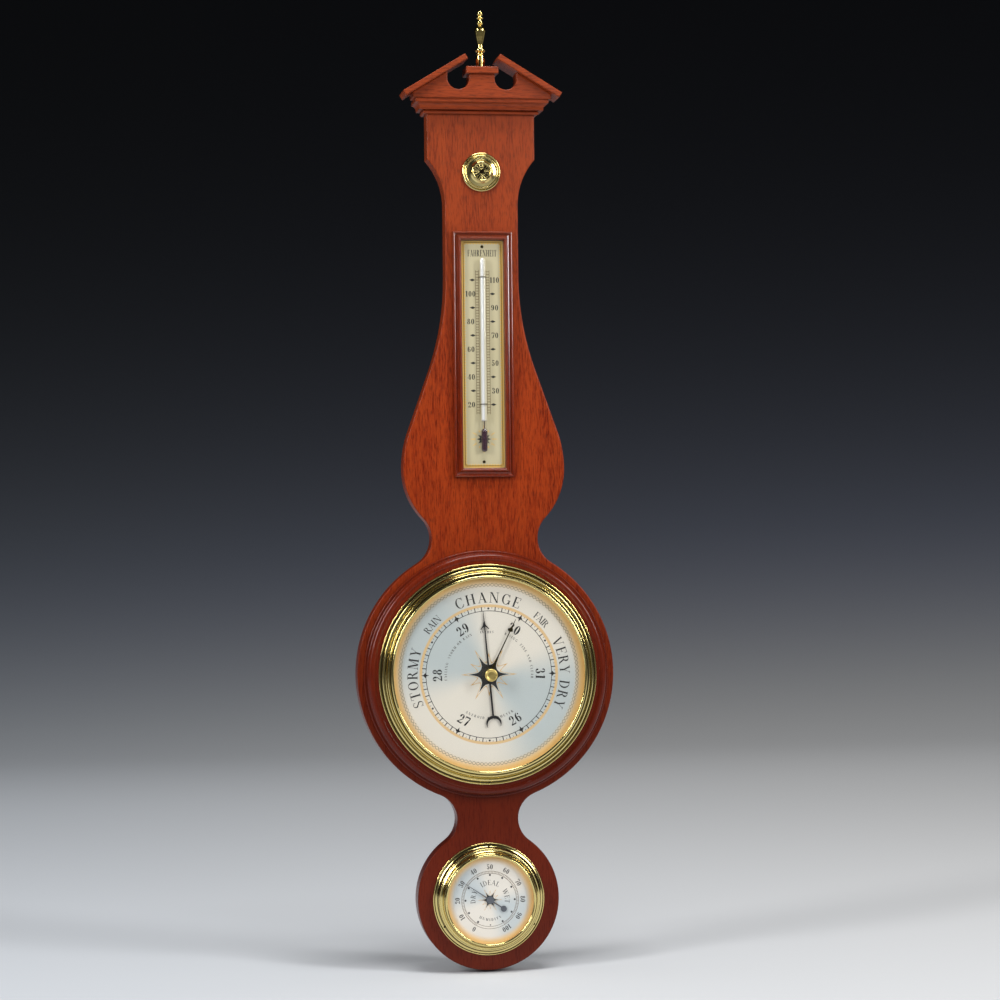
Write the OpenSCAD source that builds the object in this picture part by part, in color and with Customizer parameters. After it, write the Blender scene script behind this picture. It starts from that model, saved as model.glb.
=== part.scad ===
// Wall barometer with thermometer and hygrometer, banjo case with a broken pediment.
// Each piece is drawn in front view: x to the right, y up, and z as the distance forward from the wall.
// facing() turns that view upright, with the wall hanger's hole at the origin and the front towards -Y.

/* [Case] */
// Thickness of the case board
case_t = 19; // [14:0.5:26]
// Height of the hanger's hole above the main dial's centre
hanger_up = 486; // [470:1:500]
// Radius of the case round the main dial
dial_lobe_r = 120; // [116:0.5:126]
// Radius of the case round the hygrometer
hygro_lobe_r = 66; // [60:0.5:72]
// Distance of the hygrometer's centre below the main dial's centre
hygro_drop = 208.5; // [204:0.5:214]
// Width between the two dials
low_neck_w = 56.8; // [50:0.2:62]
// Width of the waist above the main dial
waist_w = 99.2; // [92:0.2:106]
// Radius of the waist's hollow corners
waist_r = 27; // [20:0.5:32]
// Width of the bulge below the thermometer
bulge_w = 151; // [144:0.5:158]
// Height of the bulge's widest line above the main dial's centre
bulge_up = 190; // [184:0.5:200]
// Radius of the bulge's upper curve
bulge_top_r = 105; // [90:1:120]
// Slope of the straight shoulder, in degrees from upright
shoulder_slope = 19.6; // [18:0.1:22]
// Radius of the curve from shoulder to neck
neck_blend_r = 260; // [200:1:280]
// Width of the neck
neck_w = 68.4; // [64:0.2:74]
// Width of the top block
block_w = 101; // [96:0.5:108]
// Height of the top block's lower corner above the main dial's centre
block_up = 478; // [472:0.5:482]
// Radius of the hollow curve under the top block
block_cove_r = 64.5; // [50:0.5:80]
// Height of the case board's top edge above the main dial's centre
case_top_up = 533; // [528:0.5:540]

/* [Pediment] */
// Height of the bead strip
bead_h = 3.5; // [2.5:0.1:5]
// Projection of the bead strip
bead_out = 3.9; // [2:0.1:6]
// Height of the cornice moulding
cornice_h = 9.8; // [8:0.1:12]
// Projection of the cornice moulding at its top
cornice_out = 11.9; // [9.5:0.1:14]
// Width of the pediment board
pediment_w = 129.8; // [126:0.2:136]
// Thickness of the pediment board
pediment_t = 20; // [14:0.5:24]
// Distance of the pediment board's front behind the cornice's front edge
pediment_inset = -1; // [-3:0.1:2]
// Height of the pediment's ends
pediment_end_h = 5; // [3:0.1:8]
// Slope of the pediment, in degrees
pediment_slope = 31.2; // [28:0.1:33]
// Radius of the scroll holes
scroll_r = 10.3; // [8:0.1:10.5]
// Height of the scroll holes' centres above the case top
scroll_up = 18.5; // [16:0.1:20]
// Width of the plinth between the scroll holes
plinth_w = 23.6; // [20:0.1:24]
// Height of the plinth above the case top
plinth_up = 22.7; // [21:0.1:26]
// Thickness of the raking boards
rake_t = 5.2; // [4:0.1:7]
// Distance of the raking boards' upper ends from the middle, at their lower face
rake_gap = 13.8; // [12:0.1:16]
// Overhang of the raking boards past the pediment's ends
rake_end_out = 6.6; // [4:0.1:9]
// Overhang of the raking boards in front and behind
rake_front_out = 6; // [3:0.1:8]
// Width of the plinth cap
cap_w = 29.9; // [27.6:0.1:32]
// Height of the plinth cap
cap_h = 6.4; // [5:0.1:8]
// Height of the finial above the plinth cap
finial_h = 54.4; // [48:0.1:60]
// Radius of the finial's stem
finial_stem_r = 4.2; // [3.4:0.1:4.6]

/* [Rosette] */
// Radius of the rosette
rosette_r = 18.2; // [16:0.1:20]
// Height of the rosette's centre above the main dial's centre
rosette_up = 466; // [460:0.5:470]

/* [Thermometer] */
// Width of the thermometer frame
thermo_w = 56; // [52:0.5:60]
// Height of the thermometer frame
thermo_h = 228; // [220:1:236]
// Height of the thermometer frame's centre above the main dial's centre
thermo_up = 296.5; // [292:0.5:300]
// Width of the frame's moulding
thermo_rail_w = 8.2; // [7:0.1:9]
// Height of the frame's moulding above the case
thermo_rail_h = 6.6; // [5.6:0.1:8]
// Thickness of the scale plate
scale_t = 1; // [0.6:0.1:1.5]
// Play between the scale plate and its frame
scale_play = 0.2; // [0.1:0.05:0.5]
// Radius of the thermometer tube
tube_r = 2.6; // [1.8:0.1:3]
// Radius of the thermometer's bulb
bulb_r = 3.3; // [2.8:0.1:4]
// Length of the bulb
bulb_l = 25; // [20:0.5:30]
// Distance of the tube's upper end below the scale plate's upper edge
tube_top_gap = 16.2; // [12:0.2:24]
// Distance of the bulb's lower end above the scale plate's lower edge
bulb_up = 14; // [12:0.5:18]
// Wall of the bulb
bulb_wall = 0.6; // [0.4:0.1:1]
// Radius of the capillary
capillary_r = 0.5; // [0.3:0.05:0.7]
// Radius of the staples' wire
staple_r = 0.35; // [0.25:0.05:0.45]

/* [Main dial] */
// Outer radius of the turned wooden ring
ring_r = 114.6; // [112.5:0.1:115.5]
// Height of the wooden ring's seat for the bezel
ring_seat_h = 11; // [9:0.5:14]
// Outer radius of the brass bezel
bezel_r = 101.9; // [101.5:0.1:102.5]
// Height of the bezel
bezel_h = 12.3; // [11.6:0.1:13.5]
// Inner radius of the bezel's sight edge
sight_r = 88.8; // [87:0.1:89.2]
// Radius of the dial plate
dial_r = 91.2; // [90.8:0.1:91.3]
// Thickness of the dial plate
dial_t = 0.8; // [0.5:0.1:1]
// Thickness of the glass
glass_t = 2; // [1.5:0.1:2.4]
// Height of the spacer ring between the dial and the glass
spacer_h = 3.2; // [3.1:0.1:3.6]
// Radius of the cup that holds the movement
cup_r = 88; // [86:0.1:88.5]
// Sheet thickness of the cup
cup_t = 0.8; // [0.6:0.1:1.2]
// Depth of the cup, from its flange to its back
cup_depth = 31.6; // [31.4:0.1:32.4]
// Gap between the cup and the case
cup_gap = 1; // [0.5:0.1:1.5]
// Angle of the indicating hand, clockwise from upright
hand_angle = -5; // [-90:1:60]
// Length of the indicating hand from its centre to its tip
hand_l = 58.5; // [52:0.5:62]
// Distance of the arrow head behind the indicating hand's tip
arrow_back = 9.5; // [6:0.5:12]
// Length of the arrow head
arrow_l = 7.4; // [5:0.1:9]
// Width of the arrow head
arrow_w = 8; // [5:0.1:10]
// Length of the indicating hand's tail, up to its crescent
hand_tail_l = 40; // [34:0.5:44]
// Radius of the crescent
crescent_r = 7.1; // [6:0.1:8]
// Angle of the set hand, clockwise from upright
set_angle = 26.4; // [-180:0.1:180]
// Length of the set hand
set_hand_l = 56.5; // [50:0.5:62]
// Thickness of the hands
hand_t = 0.5; // [0.3:0.05:0.5]
// Radius of the setting knob
knob_r = 5.8; // [5:0.1:7]
// Height of the setting knob
knob_h = 9.5; // [8:0.1:11]
// Radius of the set hand's spindle
spindle_r = 1.5; // [1.2:0.05:1.8]

/* [Movement] */
// Radius of the movement plate
plate_r = 44; // [43:0.5:48]
// Thickness of the movement plates
plate_t = 1.6; // [1.2:0.1:1.8]
// Radius of the circle of pillars
pillar_circle_r = 38.5; // [38:0.1:40]
// Radius of the pillars
pillar_r = 2.5; // [2:0.1:3]
// Radius of the aneroid capsule
capsule_r = 23; // [20:0.5:24]
// Thickness of the aneroid capsule
capsule_t = 6.4; // [5.6:0.1:6.6]
// Height of the capsule's centre above the pinion
capsule_up = 10; // [9.5:0.1:12]
// Gear module of the pinion and the sector
gear_m = 0.6; // [0.55:0.01:0.6]
// Number of teeth of the pinion
pinion_teeth = 12; // [12:1:13]
// Teeth of the sector's full circle for each tooth of the pinion
sector_ratio = 8; // [8:1:8]
// Number of teeth cut on the sector
sector_teeth = 13; // [13:1:15]
// Width of the sector's teeth
sector_t = 1.6; // [1.2:0.1:2]
// Radius of the pivots
pivot_r = 0.8; // [0.6:0.05:0.9]
// Radial play of the pivots
pivot_play = 0.05; // [0.03:0.01:0.08]
// Distance of the sector's driven pin from its pivot
tail_r = 4; // [3.8:0.1:4.4]
// Length of the rocker's crank
crank_l = 3.6; // [3.3:0.1:4]
// Turns of the hairspring
hairspring_turns = 4; // [3:1:5]
// Radius of the adjusting screw's shank
adjuster_r = 1.5; // [1.2:0.1:1.8]

/* [Hygrometer] */
// Outer radius of the hygrometer's bezel
hygro_bezel_r = 52.2; // [51:0.1:54]
// Height of the hygrometer's bezel
hygro_bezel_h = 14.6; // [14:0.1:16]
// Inner radius of the hygrometer's sight edge
hygro_sight_r = 40.2; // [39:0.1:40.8]
// Radius of the hygrometer's dial plate
hygro_dial_r = 42; // [41.4:0.1:42.2]
// Height of the hygrometer's dial above the case
hygro_dial_up = 8.6; // [8:0.1:9.2]
// Radius of the hygrometer's cup
hygro_cup_r = 39.5; // [38:0.1:40]
// Angle of the hygrometer's hand, clockwise from upright
hygro_angle = -56.3; // [-90:0.1:90]
// Length of the hygrometer's hand
hygro_hand_l = 30.5; // [27:0.5:33]
// Turns of the humidity coil
coil_turns = 5; // [4:1:6]

/* [Hanger] */
// Radius of the keyhole's round part
keyhole_r = 5; // [4.5:0.1:5.5]
// Width of the keyhole's slot
keyhole_slot_w = 4.5; // [3.5:0.1:5]
// Length of the keyhole's slot above its centre
keyhole_slot_l = 12; // [10:0.5:14]
// Width of the hanger plate
hanger_w = 22; // [20:0.5:26]
// Thickness of the hanger plate
hanger_t = 1.5; // [1.2:0.1:2]
// Depth of the pocket for the head of the wall screw
pocket_d = 9; // [7:0.5:11]
// Radius of the hanger screws' shanks
hanger_screw_r = 1.5; // [1.2:0.1:1.8]

/* [Hidden] */
$fn = 96;
wood = [0.46, 0.16, 0.07];
brass = [0.80, 0.66, 0.34];
silvered = [0.80, 0.81, 0.77];
champagne = [0.84, 0.79, 0.64];
steel = [0.55, 0.56, 0.58];
blackened = [0.05, 0.05, 0.05];
clear = [0.85, 0.92, 0.92, 0.3];
eps = 0.01;
chord = 4;
running = 0.3;

// Heights above the hanger's hole
dial_z = -hanger_up;
hygro_z = dial_z - hygro_drop;

// Case outline, in the main dial's frame
waist_cx = waist_w / 2 + waist_r;
waist_cy = sqrt(pow(dial_lobe_r + waist_r, 2) - pow(waist_cx, 2));
bulge_dx = waist_cx - bulge_w / 2;
bulge_dy = bulge_up - waist_cy;
bulge_low_r = (pow(bulge_dx, 2) + pow(bulge_dy, 2) - pow(waist_r, 2)) / (2 * (waist_r - bulge_dx));
bulge_low_cx = bulge_w / 2 - bulge_low_r;
s_angle = atan2(bulge_dy, waist_cx - bulge_low_cx);
lobe_angle = atan2(waist_cy, waist_cx);
bulge_top_cx = bulge_w / 2 - bulge_top_r;
shoulder_x0 = bulge_top_cx + bulge_top_r * cos(shoulder_slope);
shoulder_y0 = bulge_up + bulge_top_r * sin(shoulder_slope);
neck_x0 = neck_w / 2 + neck_blend_r * (1 - cos(shoulder_slope));
neck_y0 = shoulder_y0 + (shoulder_x0 - neck_x0) / tan(shoulder_slope);
neck_cy = neck_y0 + neck_blend_r * sin(shoulder_slope);
cove_step = (block_w - neck_w) / 2;
cove_rise = sqrt(pow(block_cove_r, 2) - pow(block_cove_r - cove_step, 2));
cove_cy = block_up - cove_rise;
cove_angle = atan2(cove_rise, block_cove_r - cove_step);

// Fillet between the two lobes: tangent to both and clear of the middle by half the low neck
low_rate = (hygro_lobe_r - dial_lobe_r) / hygro_drop;
low_base = (pow(hygro_lobe_r, 2) - pow(dial_lobe_r, 2) - pow(hygro_drop, 2)) / (2 * hygro_drop);
low_half = low_neck_w / 2;
low_a = pow(low_rate, 2);
low_b = 2 * (low_half - dial_lobe_r + low_base * low_rate);
low_c = pow(low_half, 2) - pow(dial_lobe_r, 2) + pow(low_base, 2);
low_r = (-low_b - sqrt(pow(low_b, 2) - 4 * low_a * low_c)) / (2 * low_a);
low_cx = low_half + low_r;
low_cy = low_base + low_rate * low_r;

// Pediment
cornice_y = case_top_up - cornice_h;
bead_y = cornice_y - bead_h;
ped_front = case_t + cornice_out - pediment_inset;
ped_back = ped_front - pediment_t;
rake_front = ped_front + rake_front_out;
rake_back = ped_back - rake_front_out;
slope_end_y = case_top_up + pediment_end_h;
slope_end_x = pediment_w / 2;
scroll_x = plinth_w / 2 + scroll_r;
rake_l = (slope_end_x + rake_end_out - rake_gap) / cos(pediment_slope);
plinth_y = case_top_up + plinth_up;
plinth_mid = (ped_front + ped_back) / 2;
cap_d = pediment_t + cap_w - plinth_w;
cap_top = plinth_y + cap_h;
spigot_r = 2;
spigot_l = 9;

// Thermometer
scale_w = thermo_w - 2 * thermo_rail_w - 2 * scale_play;
scale_h = thermo_h - 2 * thermo_rail_w - 2 * scale_play;
scale_front = case_t + scale_t;
tube_axis = scale_front + running + bulb_r;
bulb_y = thermo_up - scale_h / 2 + bulb_up;
tube_l = scale_h - bulb_up - bulb_l - tube_top_gap;
staple_inset = 19;
staple_ys = [bulb_y + bulb_l + staple_inset + 1, bulb_y + bulb_l + tube_l - staple_inset + 1];
staple_in = tube_r + 0.1;
pin_inset = 5.6;
pin_y = scale_h / 2 - pin_inset;

// Main dial stack, from the wall forward
ring_seat = case_t + ring_seat_h;
cup_hole_r = cup_r + cup_gap;
flange_lift = 4.6;
cup_flange = ring_seat + flange_lift;
dial_back = cup_flange;
dial_front = dial_back + dial_t;
glass_back = dial_front + spacer_h;
glass_front = glass_back + glass_t;
bezel_top = ring_seat + bezel_h;
bezel_in_r = dial_r + 0.2;
glass_r = bezel_in_r - 0.1;
cup_back = cup_flange - cup_depth;
bezel_flange_t = 1.2;
pin_r = 0.6;
pin_head_h = 0.5;
bezel_pin_in = 2.2;
bezel_pin_sink = 4.5;
bezel_pin_circle = bezel_r - bezel_pin_in;
hand_gap = 0.9;
hand_back = dial_front + hand_gap;
set_back = hand_back + hand_t + hand_gap;
bush_flange_t = 0.6;
glass_hole_r = 2 * spindle_r;
knob_back = glass_front + bush_flange_t + 0.3;

// Movement levels
plate_stand = 4;
plate_gap = 14.2;
tongue_t = 1;
tongue_lift = 1;
stud_h = 0.6;
lever_lift = 1.2;
lever_t = 0.7;
crank_t = 1.2;
bridge_t = 1.2;
sector_lift = 5.4;
pinion_over = 0.6;
spring_lift = 0.5;
spring_room = 1.3;
front_t = 1;
plate_back = cup_back + cup_t + plate_stand;
plate_front = plate_back + plate_t;
tongue_back = plate_front + tongue_lift;
capsule_back = tongue_back + tongue_t + stud_h;
capsule_front = capsule_back + capsule_t;
lever_back = capsule_front + lever_lift;
rocker_d = lever_back + lever_t + running + crank_t / 2;
bridge_back = plate_front + plate_gap;
sector_back = bridge_back + sector_lift;
pinion_back = sector_back - pinion_over;
pinion_w = sector_t + 2 * pinion_over;
spring_back = pinion_back + pinion_w + spring_lift;
front_back = spring_back + spring_room;
gear_pitch_r = gear_m * pinion_teeth / 2;
sector_pitch_r = gear_pitch_r * sector_ratio;
gear_centres = gear_pitch_r + sector_pitch_r;
rocker_side = 1.55;
rocker_x = -rocker_side;
rocker_y = -gear_centres + tail_r;
rocker_r = 0.8;
bridge_front = bridge_back + bridge_t;
pinion_r = 1.2;

// Hygrometer levels
hygro_flange_t = 1.2;
hygro_dial_t = 0.6;
hygro_dial_back = case_t + hygro_dial_up - hygro_dial_t;
hygro_dial_front = case_t + hygro_dial_up;
hygro_glass_t = 1.5;
hygro_glass_lift = 3.6;
hygro_glass_back = hygro_dial_front + hygro_glass_lift;
hygro_cup_back = 3;
hygro_cup_hole_r = hygro_cup_r + cup_gap;
hygro_bezel_in_r = hygro_dial_r + 0.2;
hygro_pin_in = 3.6;
hygro_pin_circle = hygro_bezel_r - hygro_pin_in;
hygro_pin_sink = 5.5;
hygro_pin_up = 3.3;
hygro_hand_back = hygro_dial_front + hand_gap + 0.1;
hygro_bridge_back = 20;
arbor_r = 0.8;

// Hanger
hanger_top = keyhole_slot_l + 11;
hanger_bottom = -keyhole_r - 12;
hanger_screw_ys = [hanger_top - 4.5, hanger_bottom + 4.5];
hanger_screw_l = 11;
hanger_head_r = 2.8;

// Points of an arc about c with radius r from angle a up to angle b, without the end point,
// which is the start of the arc that follows
function arc(c, r, a, b) =
    let (n = max(3, ceil(abs(b - a) * PI * r / 180 / chord)))
    [for (i = [0 : n - 1]) [c[0] + r * cos(a + (b - a) * i / n), c[1] + r * sin(a + (b - a) * i / n)]];

// Points of a small arc on a moulding, both ends included
function fine_arc(c, r, a, b) =
    [for (i = [0 : 8]) let (t = a + (b - a) * i / 8) [c[0] + r * cos(t), c[1] + r * sin(t)]];

// Mirror image of an outline's right side, without the point on the middle line
function flip(points) = [for (i = [len(points) - 1 : -1 : 1]) [-points[i][0], points[i][1]]];

module facing(z = dial_z) {
    translate([0, 0, z]) rotate([90, 0, 0]) children();
}

// Disc or ring between two distances from the wall
module disc(r, from, to, hole = 0) {
    translate([0, 0, from]) difference() {
        cylinder(r = r, h = to - from);
        if (hole > 0) translate([0, 0, -1]) cylinder(r = hole, h = to - from + 2);
    }
}

// Turns a profile of radius and distance from the wall about the dial's axis
module turned() {
    rotate_extrude($fn = 180) children();
}

module around(angles) {
    for (a = angles) rotate([0, 0, a]) children();
}

// Half of a profile lies right of the axis
module right_half(size = 200) {
    intersection() {
        children();
        translate([0, -size]) square([size, 2 * size]);
    }
}

// Right side of the case outline, from the bottom to the top
function case_side() = concat(
    arc([0, -hygro_drop], hygro_lobe_r, -90, atan2(low_cy + hygro_drop, low_cx)),
    arc([low_cx, low_cy], low_r, 180 + atan2(low_cy + hygro_drop, low_cx), 180 + atan2(low_cy, low_cx)),
    arc([0, 0], dial_lobe_r, atan2(low_cy, low_cx), lobe_angle),
    arc([waist_cx, waist_cy], waist_r, 180 + lobe_angle, 180 - s_angle),
    arc([bulge_low_cx, bulge_up], bulge_low_r, -s_angle, 0),
    arc([bulge_top_cx, bulge_up], bulge_top_r, 2, shoulder_slope),
    arc([neck_w / 2 + neck_blend_r, neck_cy], neck_blend_r, 180 + shoulder_slope, 180),
    arc([neck_w / 2 + block_cove_r, cove_cy], block_cove_r, 180, 180 - cove_angle),
    [[block_w / 2, block_up], [block_w / 2, case_top_up]]);

module case_outline() {
    polygon(concat(case_side(), flip(case_side())));
}

module case_board() {
    color(wood) difference() {
        facing() linear_extrude(case_t) case_outline();
        facing() disc(cup_hole_r, -1, case_t + 1);
        facing(hygro_z) disc(hygro_cup_hole_r, -1, case_t + 1);
        facing(hygro_z) around([0, 120, 240]) translate([0, hygro_pin_circle, case_t - hygro_pin_sink - 0.5])
            cylinder(r = pin_r, h = hygro_pin_sink + 2);
        facing(0) translate([-hanger_w / 2, hanger_bottom, -1]) cube([hanger_w, hanger_top - hanger_bottom,
            hanger_t + 1]);
        facing(0) translate([-keyhole_r - 2, -keyhole_r - 2, -1]) cube([2 * keyhole_r + 4,
            keyhole_slot_l + keyhole_r + 5, pocket_d + 1]);
        facing(0) for (y = hanger_screw_ys) translate([0, y, 0]) cylinder(r = hanger_screw_r,
            h = hanger_screw_l + 0.5);
        facing() for (s = [-1, 1]) translate([0, thermo_up + s * pin_y, case_t - 4.5])
            cylinder(r = pin_r, h = 5);
        facing() for (y = staple_ys, s = [-1, 1]) translate([s * (staple_in + staple_r), y, case_t - 4.5])
            cylinder(r = staple_r, h = 5);
        facing() translate([0, rosette_up, case_t - 8]) cylinder(r = 2, h = 9);
    }
}

// Pediment board: sloping top, scroll holes that open upwards beside the plinth
module tympanum() {
    top_y = slope_end_y + (slope_end_x - scroll_x) * tan(pediment_slope);
    right = [[slope_end_x, case_top_up], [slope_end_x, slope_end_y], [scroll_x, top_y], [scroll_x, plinth_y]];
    color(wood) facing() difference() {
        translate([0, 0, ped_back]) linear_extrude(pediment_t) difference() {
            polygon(concat(right, [for (i = [3 : -1 : 0]) [-right[i][0], right[i][1]]]));
            for (s = [-1, 1]) {
                translate([s * scroll_x, case_top_up + scroll_up]) circle(r = scroll_r);
                translate([s * scroll_x - scroll_r, case_top_up + scroll_up]) square([2 * scroll_r, 40]);
            }
        }
        translate([0, plinth_y + 1, plinth_mid]) rotate([90, 0, 0]) cylinder(r = spigot_r, h = spigot_l);
    }
}

// One raking board, lying on the pediment's right slope
module rake() {
    translate([slope_end_x, slope_end_y, rake_back]) rotate([0, 0, -pediment_slope])
        translate([rake_end_out / cos(pediment_slope) - rake_l, 0, 0])
            cube([rake_l, rake_t, rake_front - rake_back]);
}

module right_rake() {
    color(wood) facing() rake();
}

module left_rake() {
    color(wood) facing() mirror([1, 0, 0]) rake();
}

module plinth_cap() {
    color(wood) facing() difference() {
        translate([-cap_w / 2, plinth_y, plinth_mid - cap_d / 2]) cube([cap_w, cap_h, cap_d]);
        translate([0, cap_top + 1, plinth_mid]) rotate([90, 0, 0]) cylinder(r = spigot_r, h = cap_h + 2);
    }
}

// Front and side runs of a moulding round the top block, mitred at the front corners.
// The profile is drawn with x as the projection and y as the height.
module block_moulding(out, top) {
    half = block_w / 2;
    intersection() {
        translate([half + out, 0, case_t]) rotate([0, -90, 0]) linear_extrude(block_w + 2 * out) children();
        translate([0, top + 1, 0]) rotate([90, 0, 0]) linear_extrude(40)
            polygon([[-half, case_t], [half, case_t], [half + out + 1, case_t + out + 1],
                [-half - out - 1, case_t + out + 1]]);
    }
    for (s = [0, 1]) mirror([s, 0, 0]) intersection() {
        translate([half, 0, 0]) linear_extrude(case_t + out + 1) children();
        translate([0, top + 1, 0]) rotate([90, 0, 0]) linear_extrude(40)
            polygon([[half, 0], [half + out + 1, 0], [half + out + 1, case_t + out + 1], [half, case_t]]);
    }
}

module cornice_moulding() {
    foot = cornice_out - 4.3;
    color(wood) facing() block_moulding(cornice_out, case_top_up) difference() {
        polygon([[0, cornice_y], [foot, cornice_y], [foot, cornice_y + 1.2], [cornice_out, cornice_y + 1.2],
            [cornice_out, case_top_up], [0, case_top_up]]);
        translate([foot + 5.3, cornice_y + 1.2]) circle(r = 5.2);
    }
}

module cornice_bead() {
    color(wood) facing() block_moulding(bead_out, cornice_y) union() {
        translate([0, bead_y]) square([bead_out - bead_h / 2, bead_h]);
        translate([bead_out - bead_h / 2, bead_y + bead_h / 2]) circle(r = bead_h / 2);
    }
}

// Turned finial: stem, two beads, vase, and two balls on a neck
module finial() {
    k = finial_h / 54.4;
    color(brass) facing() translate([0, cap_top, plinth_mid]) rotate([-90, 0, 0]) union() {
        translate([0, 0, 1.5 - cap_h - spigot_l]) cylinder(r = spigot_r, h = cap_h + spigot_l);
        cylinder(r = finial_stem_r, h = 11.6 * k);
        rotate_extrude() right_half() {
            translate([0, 11 * k]) square([2.9, 11 * k]);
            translate([1.6, 13.7 * k]) circle(r = 2);
            translate([2.8, 17 * k]) circle(r = 2.1);
            polygon([[0, 18 * k], [2.6, 18 * k], [2.2, 20.4 * k], [2.6, 22.4 * k], [3.3, 25.6 * k],
                [4.3, 29.6 * k], [5, 32.8 * k], [5.4, 34.8 * k], [5.4, 36.2 * k], [5, 37.6 * k],
                [4.2, 38.6 * k], [3, 39.3 * k], [1.9, 39.8 * k], [1.7, 41 * k], [1.7, 49 * k],
                [0, 50 * k]]);
            translate([0, 43.1 * k]) circle(r = 3.1);
            translate([2.2, 47.3 * k]) circle(r = 1.1);
            translate([0, 51.5 * k]) circle(r = 2.9 * k);
        }
    }
}

module rosette() {
    r = rosette_r;
    color(brass) facing() translate([0, rosette_up, case_t]) union() {
        translate([0, 0, -6]) cylinder(r = 2, h = 7);
        rotate_extrude($fn = 120) right_half() difference() {
            union() {
                square([r, 1.4]);
                translate([r - 1.1, 1.3]) circle(r = 1.1);
                square([r * 0.86, 2.6]);
                translate([r * 0.82, 2.3]) circle(r = 0.9);
                polygon([[0, 2.4], [r * 0.76, 2.4], [r * 0.60, 3.6], [r * 0.50, 5.6], [0, 5.6]]);
                translate([r * 0.47, 5.3]) circle(r = 1.1);
            }
            translate([0, 4.8]) square([r * 0.40, 5]);
        }
        cylinder(r1 = r * 0.33, r2 = r * 0.16, h = 5.4, $fn = 96);
        cylinder(r1 = r * 0.09, r2 = r * 0.06, h = 6, $fn = 48);
        for (i = [0 : 15]) rotate([0, 0, i * 22.5]) translate([r * 0.11, 0, 5.3]) rotate([0, 97, 0])
            cylinder(r1 = r * 0.02, r2 = r * 0.062, h = r * 0.25, $fn = 24);
    }
}

// Thermometer frame: one mitred run of moulding along the lower side of a w by h opening
module rail_profile() {
    w = thermo_rail_w;
    h = thermo_rail_h;
    polygon(concat([[0, 0]], fine_arc([1.2, h - 2.6], 1.2, 180, 20), [[2.7, h - 2.9], [3.2, h - 3],
        [w - 3.9, h - 2.6]], fine_arc([w - 1.9, h - 1.3], 1.3, 165, 0), [[w, h - 2], [w, 0]]));
}

module rail(length, offset) {
    translate([0, -offset, case_t]) intersection() {
        translate([-length / 2, 0, 0]) rotate([90, 0, 90]) linear_extrude(length) rail_profile();
        translate([0, 0, -1]) linear_extrude(thermo_rail_h + 2)
            polygon([[-length / 2, 0], [length / 2, 0], [length / 2 - thermo_rail_w, thermo_rail_w],
                [thermo_rail_w - length / 2, thermo_rail_w]]);
    }
}

module at_thermometer(a = 0) {
    facing() translate([0, thermo_up, 0]) rotate([0, 0, a]) children();
}

module thermometer_frame_bottom() {
    color(wood) at_thermometer() rail(thermo_w, thermo_h / 2);
}

module thermometer_frame_top() {
    color(wood) at_thermometer(180) rail(thermo_w, thermo_h / 2);
}

module thermometer_frame_left() {
    color(wood) at_thermometer(-90) rail(thermo_h, thermo_w / 2);
}

module thermometer_frame_right() {
    color(wood) at_thermometer(90) rail(thermo_h, thermo_w / 2);
}

module thermometer_scale() {
    color(champagne) facing() difference() {
        translate([-scale_w / 2, thermo_up - scale_h / 2, case_t]) cube([scale_w, scale_h, scale_t]);
        for (s = [-1, 1]) translate([0, thermo_up + s * pin_y, case_t - 1])
            cylinder(r = pin_r, h = scale_t + 2);
        for (y = staple_ys, s = [-1, 1]) translate([s * (staple_in + staple_r), y, case_t - 1])
            cylinder(r = staple_r, h = scale_t + 2);
    }
}

module scale_pins() {
    color(brass) facing() for (s = [-1, 1]) translate([0, thermo_up + s * pin_y, 0]) {
        translate([0, 0, case_t - 4]) cylinder(r = pin_r, h = scale_t + 4.5);
        translate([0, 0, scale_front]) cylinder(r1 = 1.4, r2 = 0.8, h = 0.8);
    }
}

// Outline of the glass: bulb below, tube above, both closed by round ends
module tube_section(wall) {
    r = bulb_r - wall;
    right_half() {
        translate([0, bulb_r]) circle(r = r);
        translate([0, bulb_r]) square([r, bulb_l - 2 * bulb_r - 2]);
        translate([0, bulb_l - bulb_r - 2]) circle(r = r);
    }
}

module thermometer_tube() {
    color(clear) facing() translate([0, bulb_y, tube_axis]) rotate([-90, 0, 0]) difference() {
        rotate_extrude() {
            tube_section(0);
            translate([0, bulb_l - bulb_r - 3]) square([tube_r, tube_l + bulb_r + 3 - tube_r]);
            right_half() translate([0, bulb_l + tube_l - tube_r]) circle(r = tube_r);
        }
        rotate_extrude() tube_section(bulb_wall);
        translate([0, 0, bulb_l - bulb_r - 3]) cylinder(r = capillary_r, h = tube_l, $fn = 24);
    }
}

module thermometer_fluid() {
    gap = 0.05;
    color([0.25, 0.15, 0.2]) facing() translate([0, bulb_y, tube_axis]) rotate([-90, 0, 0]) union() {
        rotate_extrude() tube_section(bulb_wall + gap);
        translate([0, 0, bulb_l - bulb_r - 3]) cylinder(r = capillary_r - gap, h = 42, $fn = 24);
    }
}

// Wire staples over the tube, with their legs through the scale plate into the case
module tube_staples() {
    r = staple_in + staple_r;
    color(brass) facing() for (y = staple_ys) translate([0, y, tube_axis]) {
        rotate([90, 0, 0]) rotate_extrude(angle = 180) translate([r, 0]) circle(r = staple_r, $fn = 24);
        for (s = [-1, 1]) translate([s * r, 0, case_t - 4 - tube_axis])
            cylinder(r = staple_r, h = tube_axis - case_t + 4, $fn = 24);
    }
}

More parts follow.
